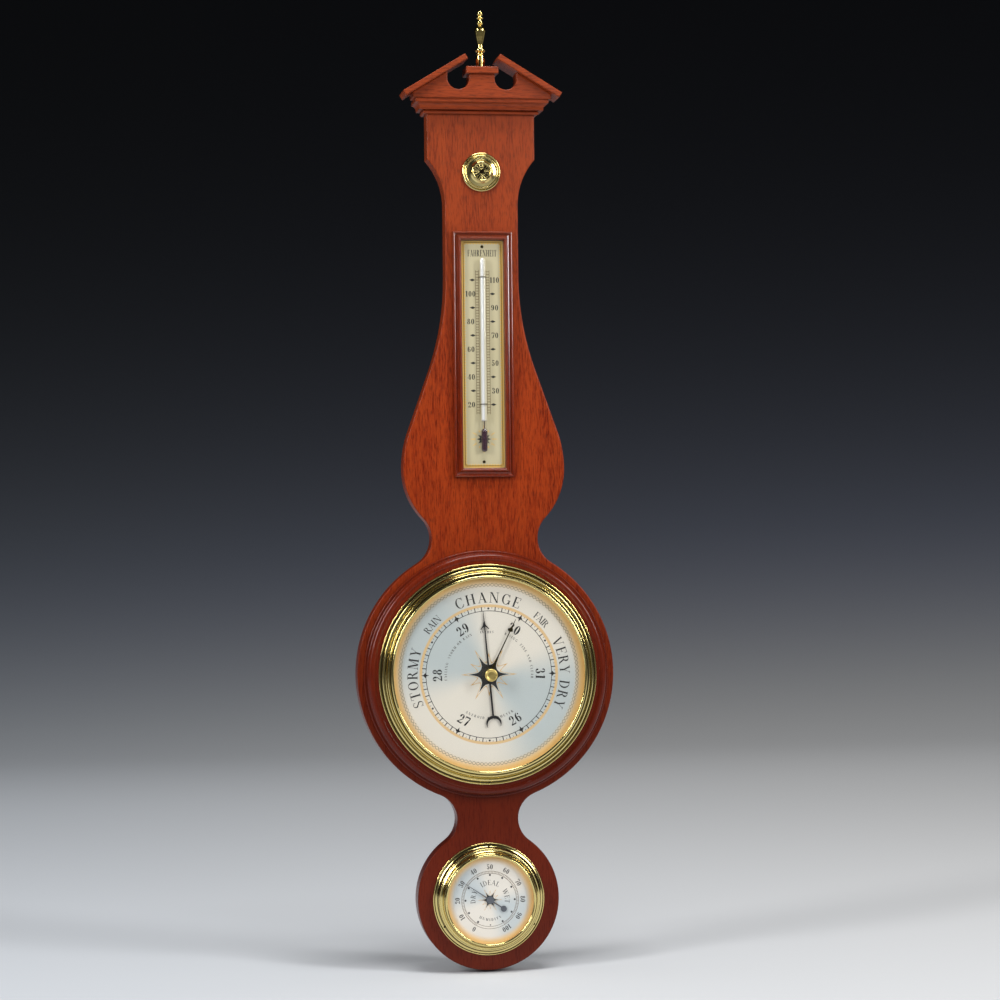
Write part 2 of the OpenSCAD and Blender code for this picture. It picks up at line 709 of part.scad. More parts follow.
// Turned wooden ring: base fillet, cove, round crest and the bezel's seat
module dial_ring() {
    crest_r = 4.4;
    crest_x = ring_r - 7.2;
    seat = ring_seat;
    color(wood) facing() difference() {
        turned() {
            difference() {
                union() {
                    translate([cup_hole_r, case_t]) square([ring_r - cup_hole_r - 0.9, 3.4]);
                    translate([ring_r - 1.2, case_t + 2.2]) circle(r = 1.2);
                    translate([ring_r - 4, case_t]) square([4, 2.2]);
                    translate([cup_hole_r, case_t]) square([crest_x - cup_hole_r, ring_seat_h]);
                    translate([cup_hole_r, case_t]) square([crest_x + crest_r - cup_hole_r, ring_seat_h - 3.6]);
                    translate([crest_x, seat - crest_r + 0.9]) circle(r = crest_r);
                }
                translate([ring_r - 1.9, case_t + 6]) circle(r = 2.6);
            }
        }
        around([0, 90, 180, 270]) translate([0, bezel_pin_circle, seat - bezel_pin_sink - 0.5])
            cylinder(r = pin_r, h = bezel_pin_sink + 2);
    }
}

// Brass bezel: rim, bead, ogee rising to a ridge, groove and sight edge over the glass
module barometer_bezel() {
    r = bezel_r;
    b = ring_seat;
    t = bezel_top;
    color(brass) facing() difference() {
        turned() difference() {
            union() {
                translate([bezel_in_r, b]) square([r - 0.7 - bezel_in_r, bezel_flange_t]);
                translate([bezel_in_r, b]) square([1.2, t - 1.6 - b]);
                translate([r - 0.8, b]) square([0.8, 0.8]);
                translate([r - 0.8, b + 0.8]) circle(r = 0.8);
                translate([r - 4.6, b + 2.1]) circle(r = 1.6);
                polygon([[bezel_in_r, b], [r - 3.1, b], [r - 3.2, b + 2.2], [r - 5.4, b + 3.2],
                    [r - 6.6, b + 4.4], [r - 7.2, b + 6], [r - 7.5, b + 7.8], [bezel_in_r, b + 7.8]]);
                translate([r - 8.7, b + 7.4]) circle(r = 1.25);
                translate([sight_r, glass_back + eps]) square([bezel_in_r + 0.7 - sight_r,
                    t - 1.2 - glass_back - eps]);
                translate([sight_r + 1.3, t - 1.3]) circle(r = 1.3);
                translate([sight_r + 1.3, t - 1.4]) square([bezel_in_r - sight_r - 1.3, 0.9]);
            }
            translate([sight_r - 5, b - 1]) square([bezel_in_r + 5 - sight_r, glass_front - b + 1]);
            polygon([[bezel_in_r + 1.1, b - 1], [r - 5, b - 1], [r - 5, b + 0.2], [r - 6.4, b + 2.2],
                [r - 8, b + 3.8], [r - 8.7, b + 5.6], [bezel_in_r + 1.1, b + 5.6]]);
        }
        around([0, 90, 180, 270]) translate([0, bezel_pin_circle, b - 1])
            cylinder(r = pin_r, h = bezel_flange_t + 2);
    }
}

module bezel_pins() {
    color(brass) facing() around([0, 90, 180, 270]) translate([0, bezel_pin_circle, 0]) {
        translate([0, 0, ring_seat - bezel_pin_sink])
            cylinder(r = pin_r, h = bezel_pin_sink + bezel_flange_t + pin_head_h / 2, $fn = 32);
        translate([0, 0, ring_seat + bezel_flange_t])
            cylinder(r1 = pin_r + 0.1, r2 = pin_r - 0.1, h = pin_head_h, $fn = 32);
    }
}

module barometer_glass() {
    color(clear) facing() disc(glass_r, glass_back, glass_front, glass_hole_r);
}

module glass_spacer() {
    color(brass) facing() disc(glass_r, dial_front, glass_back, sight_r + 0.9);
}

module barometer_dial() {
    color(silvered) facing() disc(dial_r, dial_back, dial_front, 3);
}

// Drawn cup with a flange at its mouth and a hole at the back for the adjusting screw
module barometer_cup() {
    color(brass) facing() difference() {
        union() {
            disc(cup_r, cup_back, cup_flange);
            disc(dial_r, cup_flange - cup_t, cup_flange);
        }
        disc(cup_r - cup_t, cup_back + cup_t, cup_flange + 1);
        translate([0, capsule_up, cup_back - 1]) cylinder(r = 5, h = cup_t + 2);
    }
}

function pillar_places() = [for (a = [90, 210, 330]) [pillar_circle_r * cos(a), pillar_circle_r * sin(a)]];

module movement_plate() {
    color(brass) facing() difference() {
        union() {
            disc(plate_r, plate_back, plate_front);
            for (a = [30, 150, 270]) rotate([0, 0, a]) translate([pillar_circle_r, 0, cup_back + cup_t])
                cylinder(r = 3, h = plate_back - cup_back - cup_t + 0.5);
        }
        translate([0, capsule_up, plate_back - 1]) cylinder(r = adjuster_r + pivot_play, h = plate_t + 2);
    }
}

// Spring strip that carries the capsule, with its foot on the plate
module capsule_tongue() {
    color(steel) facing() translate([-6, capsule_up - 7, 0]) union() {
        translate([0, 0, tongue_back]) cube([12, 28, tongue_t]);
        translate([0, 23, plate_front]) cube([12, 5, tongue_back - plate_front]);
    }
}

// Corrugated capsule: two dished diaphragms soldered at the rim
module aneroid_capsule() {
    r = capsule_r;
    t = capsule_t / 2;
    color(brass) facing() translate([0, capsule_up, capsule_back]) union() {
        translate([0, 0, -0.6]) cylinder(r = 3, h = 1);
        rotate_extrude() for (m = [0, 1]) translate([0, t]) mirror([0, m]) difference() {
            union() {
                square([r, 0.5]);
                square([r - 1.5, t - 0.5]);
                for (i = [0 : 2]) translate([r * (0.34 + 0.22 * i), t - 1.1]) circle(r = 1.1);
                square([r * 0.2, t]);
            }
            for (i = [0 : 2]) translate([r * (0.45 + 0.22 * i), t + 0.3]) circle(r = 1.4);
        }
    }
}

// Strip from the capsule's stud down to the rocker's crank
module capsule_lever() {
    reach = capsule_up - rocker_y - 8;
    tip_x = rocker_x - crank_l;
    color(steel) facing() translate([0, 0, lever_back]) union() {
        linear_extrude(lever_t) {
            translate([0, capsule_up]) circle(r = 4);
            polygon([[-2.5, capsule_up], [2.5, capsule_up], [tip_x + 0.9, capsule_up - reach],
                [tip_x - 0.9, capsule_up - reach]]);
            translate([tip_x - 0.5, capsule_up - reach - 1.5]) square([1, 2]);
        }
        translate([0, capsule_up, capsule_front + 0.6 - lever_back]) cylinder(r = 2, h = 1.2);
    }
}

module adjusting_screw() {
    color(brass) facing() translate([0, capsule_up, 0]) difference() {
        union() {
            translate([0, 0, cup_back + 0.6]) cylinder(r = 4, h = 2.4);
            translate([0, 0, cup_back + 2]) cylinder(r = adjuster_r, h = tongue_back - running - cup_back - 2);
        }
        translate([-5, -0.5, cup_back - 0.4]) cube([10, 1, 2]);
    }
}

module movement_pillars() {
    color(brass) facing() for (p = pillar_places()) translate([p[0], p[1], plate_front])
        cylinder(r = pillar_r, h = bridge_back - plate_front, $fn = 48);
}

// Upper plate of the movement: carries the pivots, with a slot for the rocker's finger
module bridge_plate() {
    color(brass) facing() translate([0, 0, bridge_back]) difference() {
        cylinder(r = plate_r, h = bridge_t);
        for (x = [-21, 21]) translate([x, 8, -1]) cylinder(r = 12, h = bridge_t + 2);
        for (x = [-20, 20]) translate([x, -21, -1]) cylinder(r = 8, h = bridge_t + 2);
        translate([rocker_x - 4, rocker_y - 1.1, -1]) cube([10, 3, bridge_t + 2]);
        translate([0, 0, -1]) cylinder(r = pivot_r + pivot_play, h = bridge_t + 2);
        translate([0, -gear_centres, -1]) cylinder(r = pivot_r + pivot_play, h = bridge_t + 2);
    }
}

// Two brackets that hold the rocker's pivots
module rocker_brackets() {
    color(brass) facing() for (y = [rocker_y - 8, rocker_y + 11]) difference() {
        translate([rocker_x - 1.3, y, plate_front]) cube([6, 1.5, bridge_back - running - plate_front]);
        translate([rocker_x, y + 3, rocker_d]) rotate([90, 0, 0])
            cylinder(r = pivot_r + pivot_play, h = 6, $fn = 32);
    }
}

// Rocker: shaft, crank over the capsule lever and finger behind the sector's pin
module rocker_shaft() {
    color(steel) facing() translate([rocker_x, rocker_y, rocker_d]) union() {
        translate([0, 12.5, 0]) rotate([90, 0, 0]) cylinder(r = pivot_r, h = 20.5, $fn = 32);
        translate([0, 10.5, 0]) rotate([90, 0, 0]) cylinder(r = rocker_r + 0.4, h = 16.5, $fn = 32);
        translate([-crank_l - 0.6, 6.6, -0.6]) cube([crank_l + 0.6, 1.4, 1.2]);
        translate([-0.6, -0.7, 0]) cube([1.2, 1.4, sector_back - 0.6 - rocker_d]);
    }
}

// One tooth with straight flanks, pointing along +x, as angles either side at root, pitch and tip
module tooth(root_r, pitch_r, tip_r, root_w, pitch_w, tip_w) {
    polygon([[root_r - 0.2, -root_w / 2], [root_r, -root_w / 2], [pitch_r, -pitch_w / 2],
        [tip_r, -tip_w / 2], [tip_r, tip_w / 2], [pitch_r, pitch_w / 2], [root_r, root_w / 2],
        [root_r - 0.2, root_w / 2]]);
}

module pinion_arbor() {
    m = gear_m;
    color(brass) facing() union() {
        translate([0, 0, bridge_back]) cylinder(r = pivot_r, h = 6, $fn = 48);
        translate([0, 0, bridge_front + running]) cylinder(r = pinion_r, h = hand_back + 0.2 - bridge_front,
            $fn = 48);
        translate([0, 0, pinion_back]) linear_extrude(pinion_w) {
            circle(r = gear_pitch_r - 1.2 * m, $fn = 48);
            for (i = [0 : pinion_teeth - 1]) rotate([0, 0, (i + 0.5) * 360 / pinion_teeth - 90])
                tooth(gear_pitch_r - 1.25 * m, gear_pitch_r, gear_pitch_r + 0.8 * m,
                    1.25 * m, 1.1 * m, 0.5 * m);
        }
    }
}

// Toothed sector on its own arbor, with the pin that the rocker pushes. It leans to the side
// that the longer part of its travel needs.
module sector_gear() {
    m = gear_m;
    pitch = 360 / (pinion_teeth * sector_ratio);
    half = pitch * sector_teeth / 2;
    lean = 2 * pitch;
    root = sector_pitch_r - 1.2 * m;
    rim = root - 1.5;
    color(brass) facing() translate([0, -gear_centres, 0]) union() {
        translate([0, 0, sector_back]) linear_extrude(sector_t) {
            circle(r = tail_r + 1.2);
            rotate([0, 0, 90 + lean]) {
                for (s = [-1, 1]) rotate([0, 0, s * (half - 3)])
                    polygon([[2, -1.6], [rim, -1], [rim, 1], [2, 1.6]]);
                intersection() {
                    difference() {
                        circle(r = root);
                        circle(r = root - 3);
                    }
                    polygon([[0, 0], [2 * root * cos(half), -2 * root * sin(half)],
                        [2 * root * cos(half), 2 * root * sin(half)]]);
                }
                for (i = [0 : sector_teeth - 1]) rotate([0, 0, (i - floor(sector_teeth / 2)) * pitch])
                    tooth(root, sector_pitch_r, sector_pitch_r + 0.8 * m, 1.5 * m, 1.1 * m, 0.5 * m);
            }
        }
        translate([0, 0, bridge_back])
            cylinder(r = pivot_r, h = front_back + front_t - bridge_back, $fn = 48);
        translate([0, 0, bridge_front + running]) cylinder(r = pivot_r * 2,
            h = front_back - 2 * running - bridge_front, $fn = 48);
        translate([0, tail_r, sector_back - 2.2]) cylinder(r = 0.5, h = 2.4, $fn = 32);
    }
}

// Flat spiral strip of given width between two radii
function spiral(r0, r1, turns, a0) = [for (i = [0 : 24 * turns])
    let (r = r0 + (r1 - r0) * i / (24 * turns), a = a0 + 15 * i) [r * cos(a), r * sin(a)]];

module spiral_strip(r0, r1, turns, strip, a0) {
    inner = spiral(r0, r1, turns, a0);
    outer = spiral(r0 + strip, r1 + strip, turns, a0);
    polygon(concat(inner, [for (i = [len(outer) - 1 : -1 : 0]) outer[i]]));
}

module hairspring() {
    color(steel) facing() translate([0, 0, spring_back]) union() {
        linear_extrude(0.8) spiral_strip(pinion_r + running, 6.6, hairspring_turns, 0.25, 90);
        translate([0, 6.9, 0]) cylinder(r = 0.5, h = front_back - spring_back, $fn = 24);
    }
}

// Small plate over the pinion and the sector, held on two posts
module front_plate() {
    bottom = -gear_centres - 8.4;
    top = 11.5;
    color(brass) facing() translate([0, 0, front_back]) difference() {
        union() {
            translate([-6, bottom, 0]) cube([12, top - bottom, front_t]);
            translate([0, top, 0]) cylinder(r = 6, h = front_t);
            translate([0, bottom, 0]) cylinder(r = 6, h = front_t);
        }
        translate([0, 0, -1]) cylinder(r = pinion_r + pivot_play, h = front_t + 2, $fn = 48);
        translate([0, -gear_centres, -1]) cylinder(r = pivot_r + pivot_play, h = front_t + 2, $fn = 48);
    }
}

module front_posts() {
    color(brass) facing() for (y = [11.5, -gear_centres - 8.4]) translate([0, y, bridge_front])
        cylinder(r = 2, h = front_back - bridge_front, $fn = 48);
}

// Blackened hand: arrow above, crescent on the tail
module indicating_hand() {
    neck = hand_l - arrow_back;
    barb = neck - arrow_l;
    color(blackened) facing() rotate([0, 0, -hand_angle]) translate([0, 0, hand_back]) difference() {
        union() {
            linear_extrude(hand_t) {
                circle(r = 3);
                polygon([[-0.85, 0], [0.85, 0], [0.45, neck], [0.2, hand_l], [-0.2, hand_l], [-0.45, neck]]);
                for (side = [0, 1]) mirror([side, 0, 0]) polygon([[0, neck], [0.6, neck], [1.3, neck - 3.2],
                    [arrow_w / 2, barb + 0.5], [arrow_w / 2 - 0.5, barb], [1.9, barb + 1.9],
                    [0, barb + 2.7]]);
                polygon([[-0.85, 0], [0.85, 0], [0.78, 1 - hand_tail_l], [-0.78, 1 - hand_tail_l]]);
                translate([0, -hand_tail_l - crescent_r + 2]) difference() {
                    circle(r = crescent_r);
                    translate([0, -1.65]) circle(r = crescent_r - 0.95);
                    translate([-crescent_r - 1, -crescent_r - 5])
                        square([2 * crescent_r + 2, crescent_r + 1.5]);
                }
            }
            cylinder(r = 2.6, h = hand_t + 0.4, $fn = 48);
        }
        translate([0, 0, -1]) cylinder(r = pinion_r, h = 2 + hand_t, $fn = 48);
    }
}

// Brass reference hand under the glass, with a small spade near its tip
module set_hand() {
    l = set_hand_l;
    color(brass) facing() rotate([0, 0, -set_angle]) translate([0, 0, set_back]) difference() {
        linear_extrude(hand_t) {
            circle(r = 3.6);
            polygon([[-1.6, 0], [1.6, 0], [0.6, 20], [0.45, l - 12.4], [2.2, l - 12], [2.3, l - 11.2],
                [0.9, l - 8.6], [0.35, l - 5.6], [0.2, l], [-0.2, l], [-0.35, l - 5.6], [-0.9, l - 8.6],
                [-2.3, l - 11.2], [-2.2, l - 12], [-0.45, l - 12.4], [-0.6, 20]]);
        }
        translate([0, 0, -1]) cylinder(r = spindle_r, h = 2 + hand_t, $fn = 48);
    }
}

module set_spindle() {
    color(brass) facing() translate([0, 0, set_back]) cylinder(r = spindle_r, h = knob_back + 4 - set_back,
        $fn = 48);
}

module set_knob() {
    r = knob_r;
    h = knob_h;
    color(brass) facing() translate([0, 0, knob_back]) difference() {
        rotate_extrude() right_half() {
            polygon([[0, 0], [r - 1.2, 0], [r - 1.5, 1.6], [r - 0.6, h - 2.6], [r, h - 1.6], [r, h - 1],
                [0, h - 1]]);
            translate([r - 1, h - 1]) circle(r = 1);
            polygon([[0, h - 1], [r - 1, h - 1], [r - 1, h], [r * 0.55, h - 0.5], [0, h - 0.3]]);
        }
        translate([0, 0, -1]) cylinder(r = spindle_r, h = 5, $fn = 48);
    }
}

module spindle_bush() {
    color(brass) facing() difference() {
        union() {
            disc(glass_hole_r, glass_back, glass_front);
            disc(glass_hole_r + 1.4, glass_front, glass_front + bush_flange_t);
        }
        translate([0, 0, glass_back - 1]) cylinder(r = spindle_r + pivot_play, h = glass_t + 4, $fn = 48);
    }
}

// Hygrometer bezel: flat rim, wide cove rising to a ridge, second ridge and sight edge
module hygrometer_bezel() {
    r = hygro_bezel_r;
    b = case_t;
    t = case_t + hygro_bezel_h;
    inner = hygro_bezel_in_r;
    glass_top = hygro_glass_back + hygro_glass_t;
    color(brass) facing(hygro_z) difference() {
        turned() difference() {
            union() {
                translate([inner, b]) square([r - 0.7 - inner, hygro_flange_t]);
                translate([inner, b]) square([1, t - 1.4 - b]);
                translate([r - 0.8, b]) square([0.8, 0.9]);
                translate([r - 0.8, b + 0.9]) circle(r = 0.8);
                difference() {
                    translate([inner, b]) square([r - 1.6 - inner, 6.8]);
                    translate([r + 0.4, b + 7.6]) circle(r = 6.6);
                }
                translate([r - 5.9, b + 6.2]) circle(r = 1.1);
                polygon([[inner, b], [r - 6, b], [r - 6, b + 7], [r - 7.8, b + 8.2], [r - 8.6, b + 11],
                    [inner, b + 11]]);
                translate([r - 9.5, b + 10.9]) circle(r = 1);
                translate([hygro_sight_r, hygro_glass_back]) square([inner + 0.5 - hygro_sight_r,
                    t - 1.1 - hygro_glass_back]);
                translate([hygro_sight_r + 1.2, t - 1.2]) circle(r = 1.2);
                translate([hygro_sight_r + 1.2, t - 1.3]) square([inner - hygro_sight_r - 1.2, 0.9]);
            }
            translate([hygro_sight_r - 5, b - 1]) square([inner + 5 - hygro_sight_r, glass_top - b + 1]);
            translate([inner + 1, b - 1]) square([r - 7.6 - inner - 1, 5]);
        }
        around([0, 120, 240]) translate([0, hygro_pin_circle, b - 1])
            cylinder(r = pin_r, h = hygro_pin_up + 1.7, $fn = 32);
    }
}

module hygrometer_pins() {
    color(brass) facing(hygro_z) around([0, 120, 240]) translate([0, hygro_pin_circle, 0]) {
        translate([0, 0, case_t - hygro_pin_sink])
            cylinder(r = pin_r, h = hygro_pin_sink + hygro_pin_up + pin_head_h / 2, $fn = 32);
        translate([0, 0, case_t + hygro_pin_up])
            cylinder(r1 = 1.5 * pin_r, r2 = pin_r, h = pin_head_h, $fn = 32);
    }
}

module hygrometer_glass() {
    color(clear) facing(hygro_z) disc(hygro_dial_r, hygro_glass_back, hygro_glass_back + hygro_glass_t);
}

module hygrometer_spacer() {
    color(brass) facing(hygro_z) disc(hygro_dial_r, hygro_dial_front, hygro_glass_back, hygro_sight_r + 0.5);
}

module hygrometer_dial() {
    color(silvered) facing(hygro_z) disc(hygro_dial_r, hygro_dial_back, hygro_dial_front, 1.6);
}

module hygrometer_cup() {
    color(brass) facing(hygro_z) difference() {
        union() {
            disc(hygro_cup_r, hygro_cup_back, hygro_dial_back);
            disc(hygro_dial_r, hygro_dial_back - cup_t, hygro_dial_back);
        }
        disc(hygro_cup_r - cup_t, hygro_cup_back + cup_t, hygro_dial_back + 1);
        translate([0, 0, hygro_cup_back - 1]) cylinder(r = arbor_r + pivot_play, h = cup_t + 2, $fn = 48);
    }
}

// Bridge over the coil with the front bearing, and the post for the coil's outer end
module hygrometer_bridge() {
    base = hygro_cup_back + cup_t;
    color(brass) facing(hygro_z) union() {
        difference() {
            translate([-22, -4, hygro_bridge_back]) cube([44, 8, 1.2]);
            translate([0, 0, hygro_bridge_back - 1]) cylinder(r = arbor_r + pivot_play, h = 4, $fn = 48);
        }
        for (x = [-19, 19]) translate([x, 0, base])
            cylinder(r = 2, h = hygro_bridge_back - base + eps, $fn = 48);
    }
}

module humidity_coil() {
    base = hygro_cup_back + cup_t;
    color([0.72, 0.70, 0.60]) facing(hygro_z) union() {
        translate([0, 0, base + 3]) linear_extrude(8)
            spiral_strip(arbor_r + 1 + running, 12, coil_turns, 0.4, -90);
        translate([0, -12.6, base]) cylinder(r = 0.9, h = 12, $fn = 32);
    }
}

module hygrometer_arbor() {
    color(steel) facing(hygro_z) union() {
        translate([0, 0, hygro_cup_back])
            cylinder(r = arbor_r, h = hygro_hand_back + 0.5 - hygro_cup_back, $fn = 48);
        translate([0, 0, hygro_cup_back + cup_t + running]) cylinder(r = arbor_r + 1,
            h = hygro_bridge_back - hygro_cup_back - cup_t - 2 * running, $fn = 48);
    }
}

// Needle with a round counterweight on its tail
module hygrometer_hand() {
    l = hygro_hand_l;
    color(blackened) facing(hygro_z) rotate([0, 0, -hygro_angle]) translate([0, 0, hygro_hand_back])
        difference() {
            union() {
                linear_extrude(0.4) {
                    polygon([[-0.6, 0], [0.6, 0], [0.12, l], [-0.12, l]]);
                    polygon([[-0.6, 0], [0.6, 0], [0.5, -13], [-0.5, -13]]);
                    translate([0, -15]) circle(r = 2.8);
                }
                cylinder(r = 3.4, h = 0.8);
            }
            translate([0, 0, -1]) cylinder(r = arbor_r, h = 1.5, $fn = 48);
        }
}

// Keyhole plate let into the back of the case
module hanger_plate() {
    color(brass) facing(0) difference() {
        translate([-hanger_w / 2, hanger_bottom, 0]) cube([hanger_w, hanger_top - hanger_bottom, hanger_t]);
        translate([0, 0, -1]) cylinder(r = keyhole_r, h = hanger_t + 2);
        translate([-keyhole_slot_w / 2, 0, -1]) cube([keyhole_slot_w, keyhole_slot_l, hanger_t + 2]);
        translate([0, keyhole_slot_l, -1]) cylinder(r = keyhole_slot_w / 2, h = hanger_t + 2, $fn = 48);
        for (y = hanger_screw_ys) translate([0, y, 0]) {
            translate([0, 0, -1]) cylinder(r = hanger_screw_r, h = hanger_t + 2, $fn = 48);
            translate([0, 0, -eps]) cylinder(r1 = hanger_head_r + eps, r2 = hanger_screw_r, h = hanger_t,
                $fn = 48);
        }
    }
}

module hanger_screws() {
    color(brass) facing(0) for (y = hanger_screw_ys) translate([0, y, 0]) difference() {
        union() {
            cylinder(r1 = hanger_head_r, r2 = hanger_screw_r, h = hanger_t - 0.02, $fn = 48);
            cylinder(r = hanger_screw_r, h = hanger_screw_l, $fn = 48);
        }
        translate([-4, -0.35, -1]) cube([8, 0.7, 1.7]);
    }
}

case_board();
tympanum();
left_rake();
right_rake();
plinth_cap();
cornice_moulding();
cornice_bead();
finial();
rosette();
thermometer_frame_top();
thermometer_frame_bottom();
thermometer_frame_left();
thermometer_frame_right();
thermometer_scale();
thermometer_tube();
thermometer_fluid();
tube_staples();
scale_pins();
dial_ring();
barometer_bezel();
bezel_pins();
barometer_glass();
glass_spacer();
barometer_dial();
barometer_cup();
movement_plate();
capsule_tongue();
aneroid_capsule();
capsule_lever();
adjusting_screw();
movement_pillars();
bridge_plate();
rocker_brackets();
rocker_shaft();
sector_gear();
pinion_arbor();
hairspring();
front_plate();
front_posts();
indicating_hand();
set_hand();
set_spindle();
set_knob();
spindle_bush();
hygrometer_bezel();
hygrometer_pins();
hygrometer_glass();
hygrometer_spacer();
hygrometer_dial();
hygrometer_cup();
hygrometer_bridge();
humidity_coil();
hygrometer_arbor();
hygrometer_hand();
hanger_plate();
hanger_screws();
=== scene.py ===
import math

import bpy
from mathutils import Matrix, Vector


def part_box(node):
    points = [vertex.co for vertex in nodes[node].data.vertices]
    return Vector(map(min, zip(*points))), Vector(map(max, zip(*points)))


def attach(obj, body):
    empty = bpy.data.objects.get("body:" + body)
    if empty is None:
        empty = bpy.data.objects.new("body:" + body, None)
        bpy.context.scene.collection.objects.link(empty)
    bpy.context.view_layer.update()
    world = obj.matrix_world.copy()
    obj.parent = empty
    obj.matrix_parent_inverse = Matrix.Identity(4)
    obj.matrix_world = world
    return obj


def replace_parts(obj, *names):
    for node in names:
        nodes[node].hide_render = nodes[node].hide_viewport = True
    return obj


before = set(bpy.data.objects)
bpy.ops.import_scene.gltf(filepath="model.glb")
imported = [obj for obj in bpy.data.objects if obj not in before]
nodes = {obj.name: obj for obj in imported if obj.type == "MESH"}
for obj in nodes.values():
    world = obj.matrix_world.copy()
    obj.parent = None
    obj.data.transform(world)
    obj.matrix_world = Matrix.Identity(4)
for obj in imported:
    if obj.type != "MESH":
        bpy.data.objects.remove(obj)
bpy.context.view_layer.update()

MM = 0.001
DIAL_Z = -0.486
HYGRO_Z = -0.6945
SCALE_Z = -0.1895
INK = 0.03
TAU = 2 * math.pi
FLOOR_Z = -0.7626

# Polished metal
BRASS_TONE = (0.82, 0.62, 0.21)
BRASS_TARNISH = (0.52, 0.33, 0.08)
SPUN_TONE = (0.80, 0.66, 0.27)
SPUN_TARNISH = (0.60, 0.40, 0.10)
SPUN_LIGHT = (0.92, 0.80, 0.50)

# The paper sweep, in metres: floor, quarter curve, wall
CURVE_START = 2.5
CURVE_RADIUS = 4
SWEEP_NEAR, SWEEP_SIDE, SWEEP_TOP = -20.0, 25.0, 16.0
CURVE_STEPS = 48


# ---------------------------------------------------------------- camera and stage

def aim_camera():
    """The photograph's view: a little left of the front, level with the lower waist."""
    yaw, pitch, roll = math.radians(9.01), math.radians(0.78), math.radians(-0.62)
    forward = Vector((math.sin(yaw) * math.cos(pitch), math.cos(yaw) * math.cos(pitch), math.sin(pitch)))
    level = Vector((math.cos(yaw), -math.sin(yaw), 0))
    upright = level.cross(forward)
    right = level * math.cos(roll) + upright * math.sin(roll)
    up = upright * math.cos(roll) - level * math.sin(roll)
    camera = bpy.data.objects.new("camera", bpy.data.cameras.new("camera"))
    camera.data.lens = 97.2
    camera.data.sensor_width = 36
    camera.data.clip_end = 60
    place = Matrix((right, up, -forward)).transposed().to_4x4()
    place.translation = Vector((-0.3784, -2.4975, -0.3592))
    camera.matrix_world = place
    bpy.context.scene.collection.objects.link(camera)
    bpy.context.scene.camera = camera


# ---------------------------------------------------------------- shader arithmetic

class Field:
    """A shader socket that takes part in arithmetic."""

    def __init__(self, finish, socket):
        self.finish = finish
        self.socket = socket

    def maths(self, operation, *values):
        return self.finish.maths_of(operation, *values)

    def __add__(self, other):
        return self.maths("ADD", self, other)

    __radd__ = __add__

    def __sub__(self, other):
        return self.maths("SUBTRACT", self, other)

    def __rsub__(self, other):
        return self.maths("SUBTRACT", other, self)

    def __mul__(self, other):
        return self.maths("MULTIPLY", self, other)

    __rmul__ = __mul__

    def __truediv__(self, other):
        return self.maths("DIVIDE", self, other)

    def cosine(self):
        return self.maths("COSINE", self)

    def between(self, low, high):
        """0 below low, 1 above high, and smooth in between."""
        return self.finish.add("ShaderNodeMapRange", {"interpolation_type": "SMOOTHSTEP"}, self, low, high)


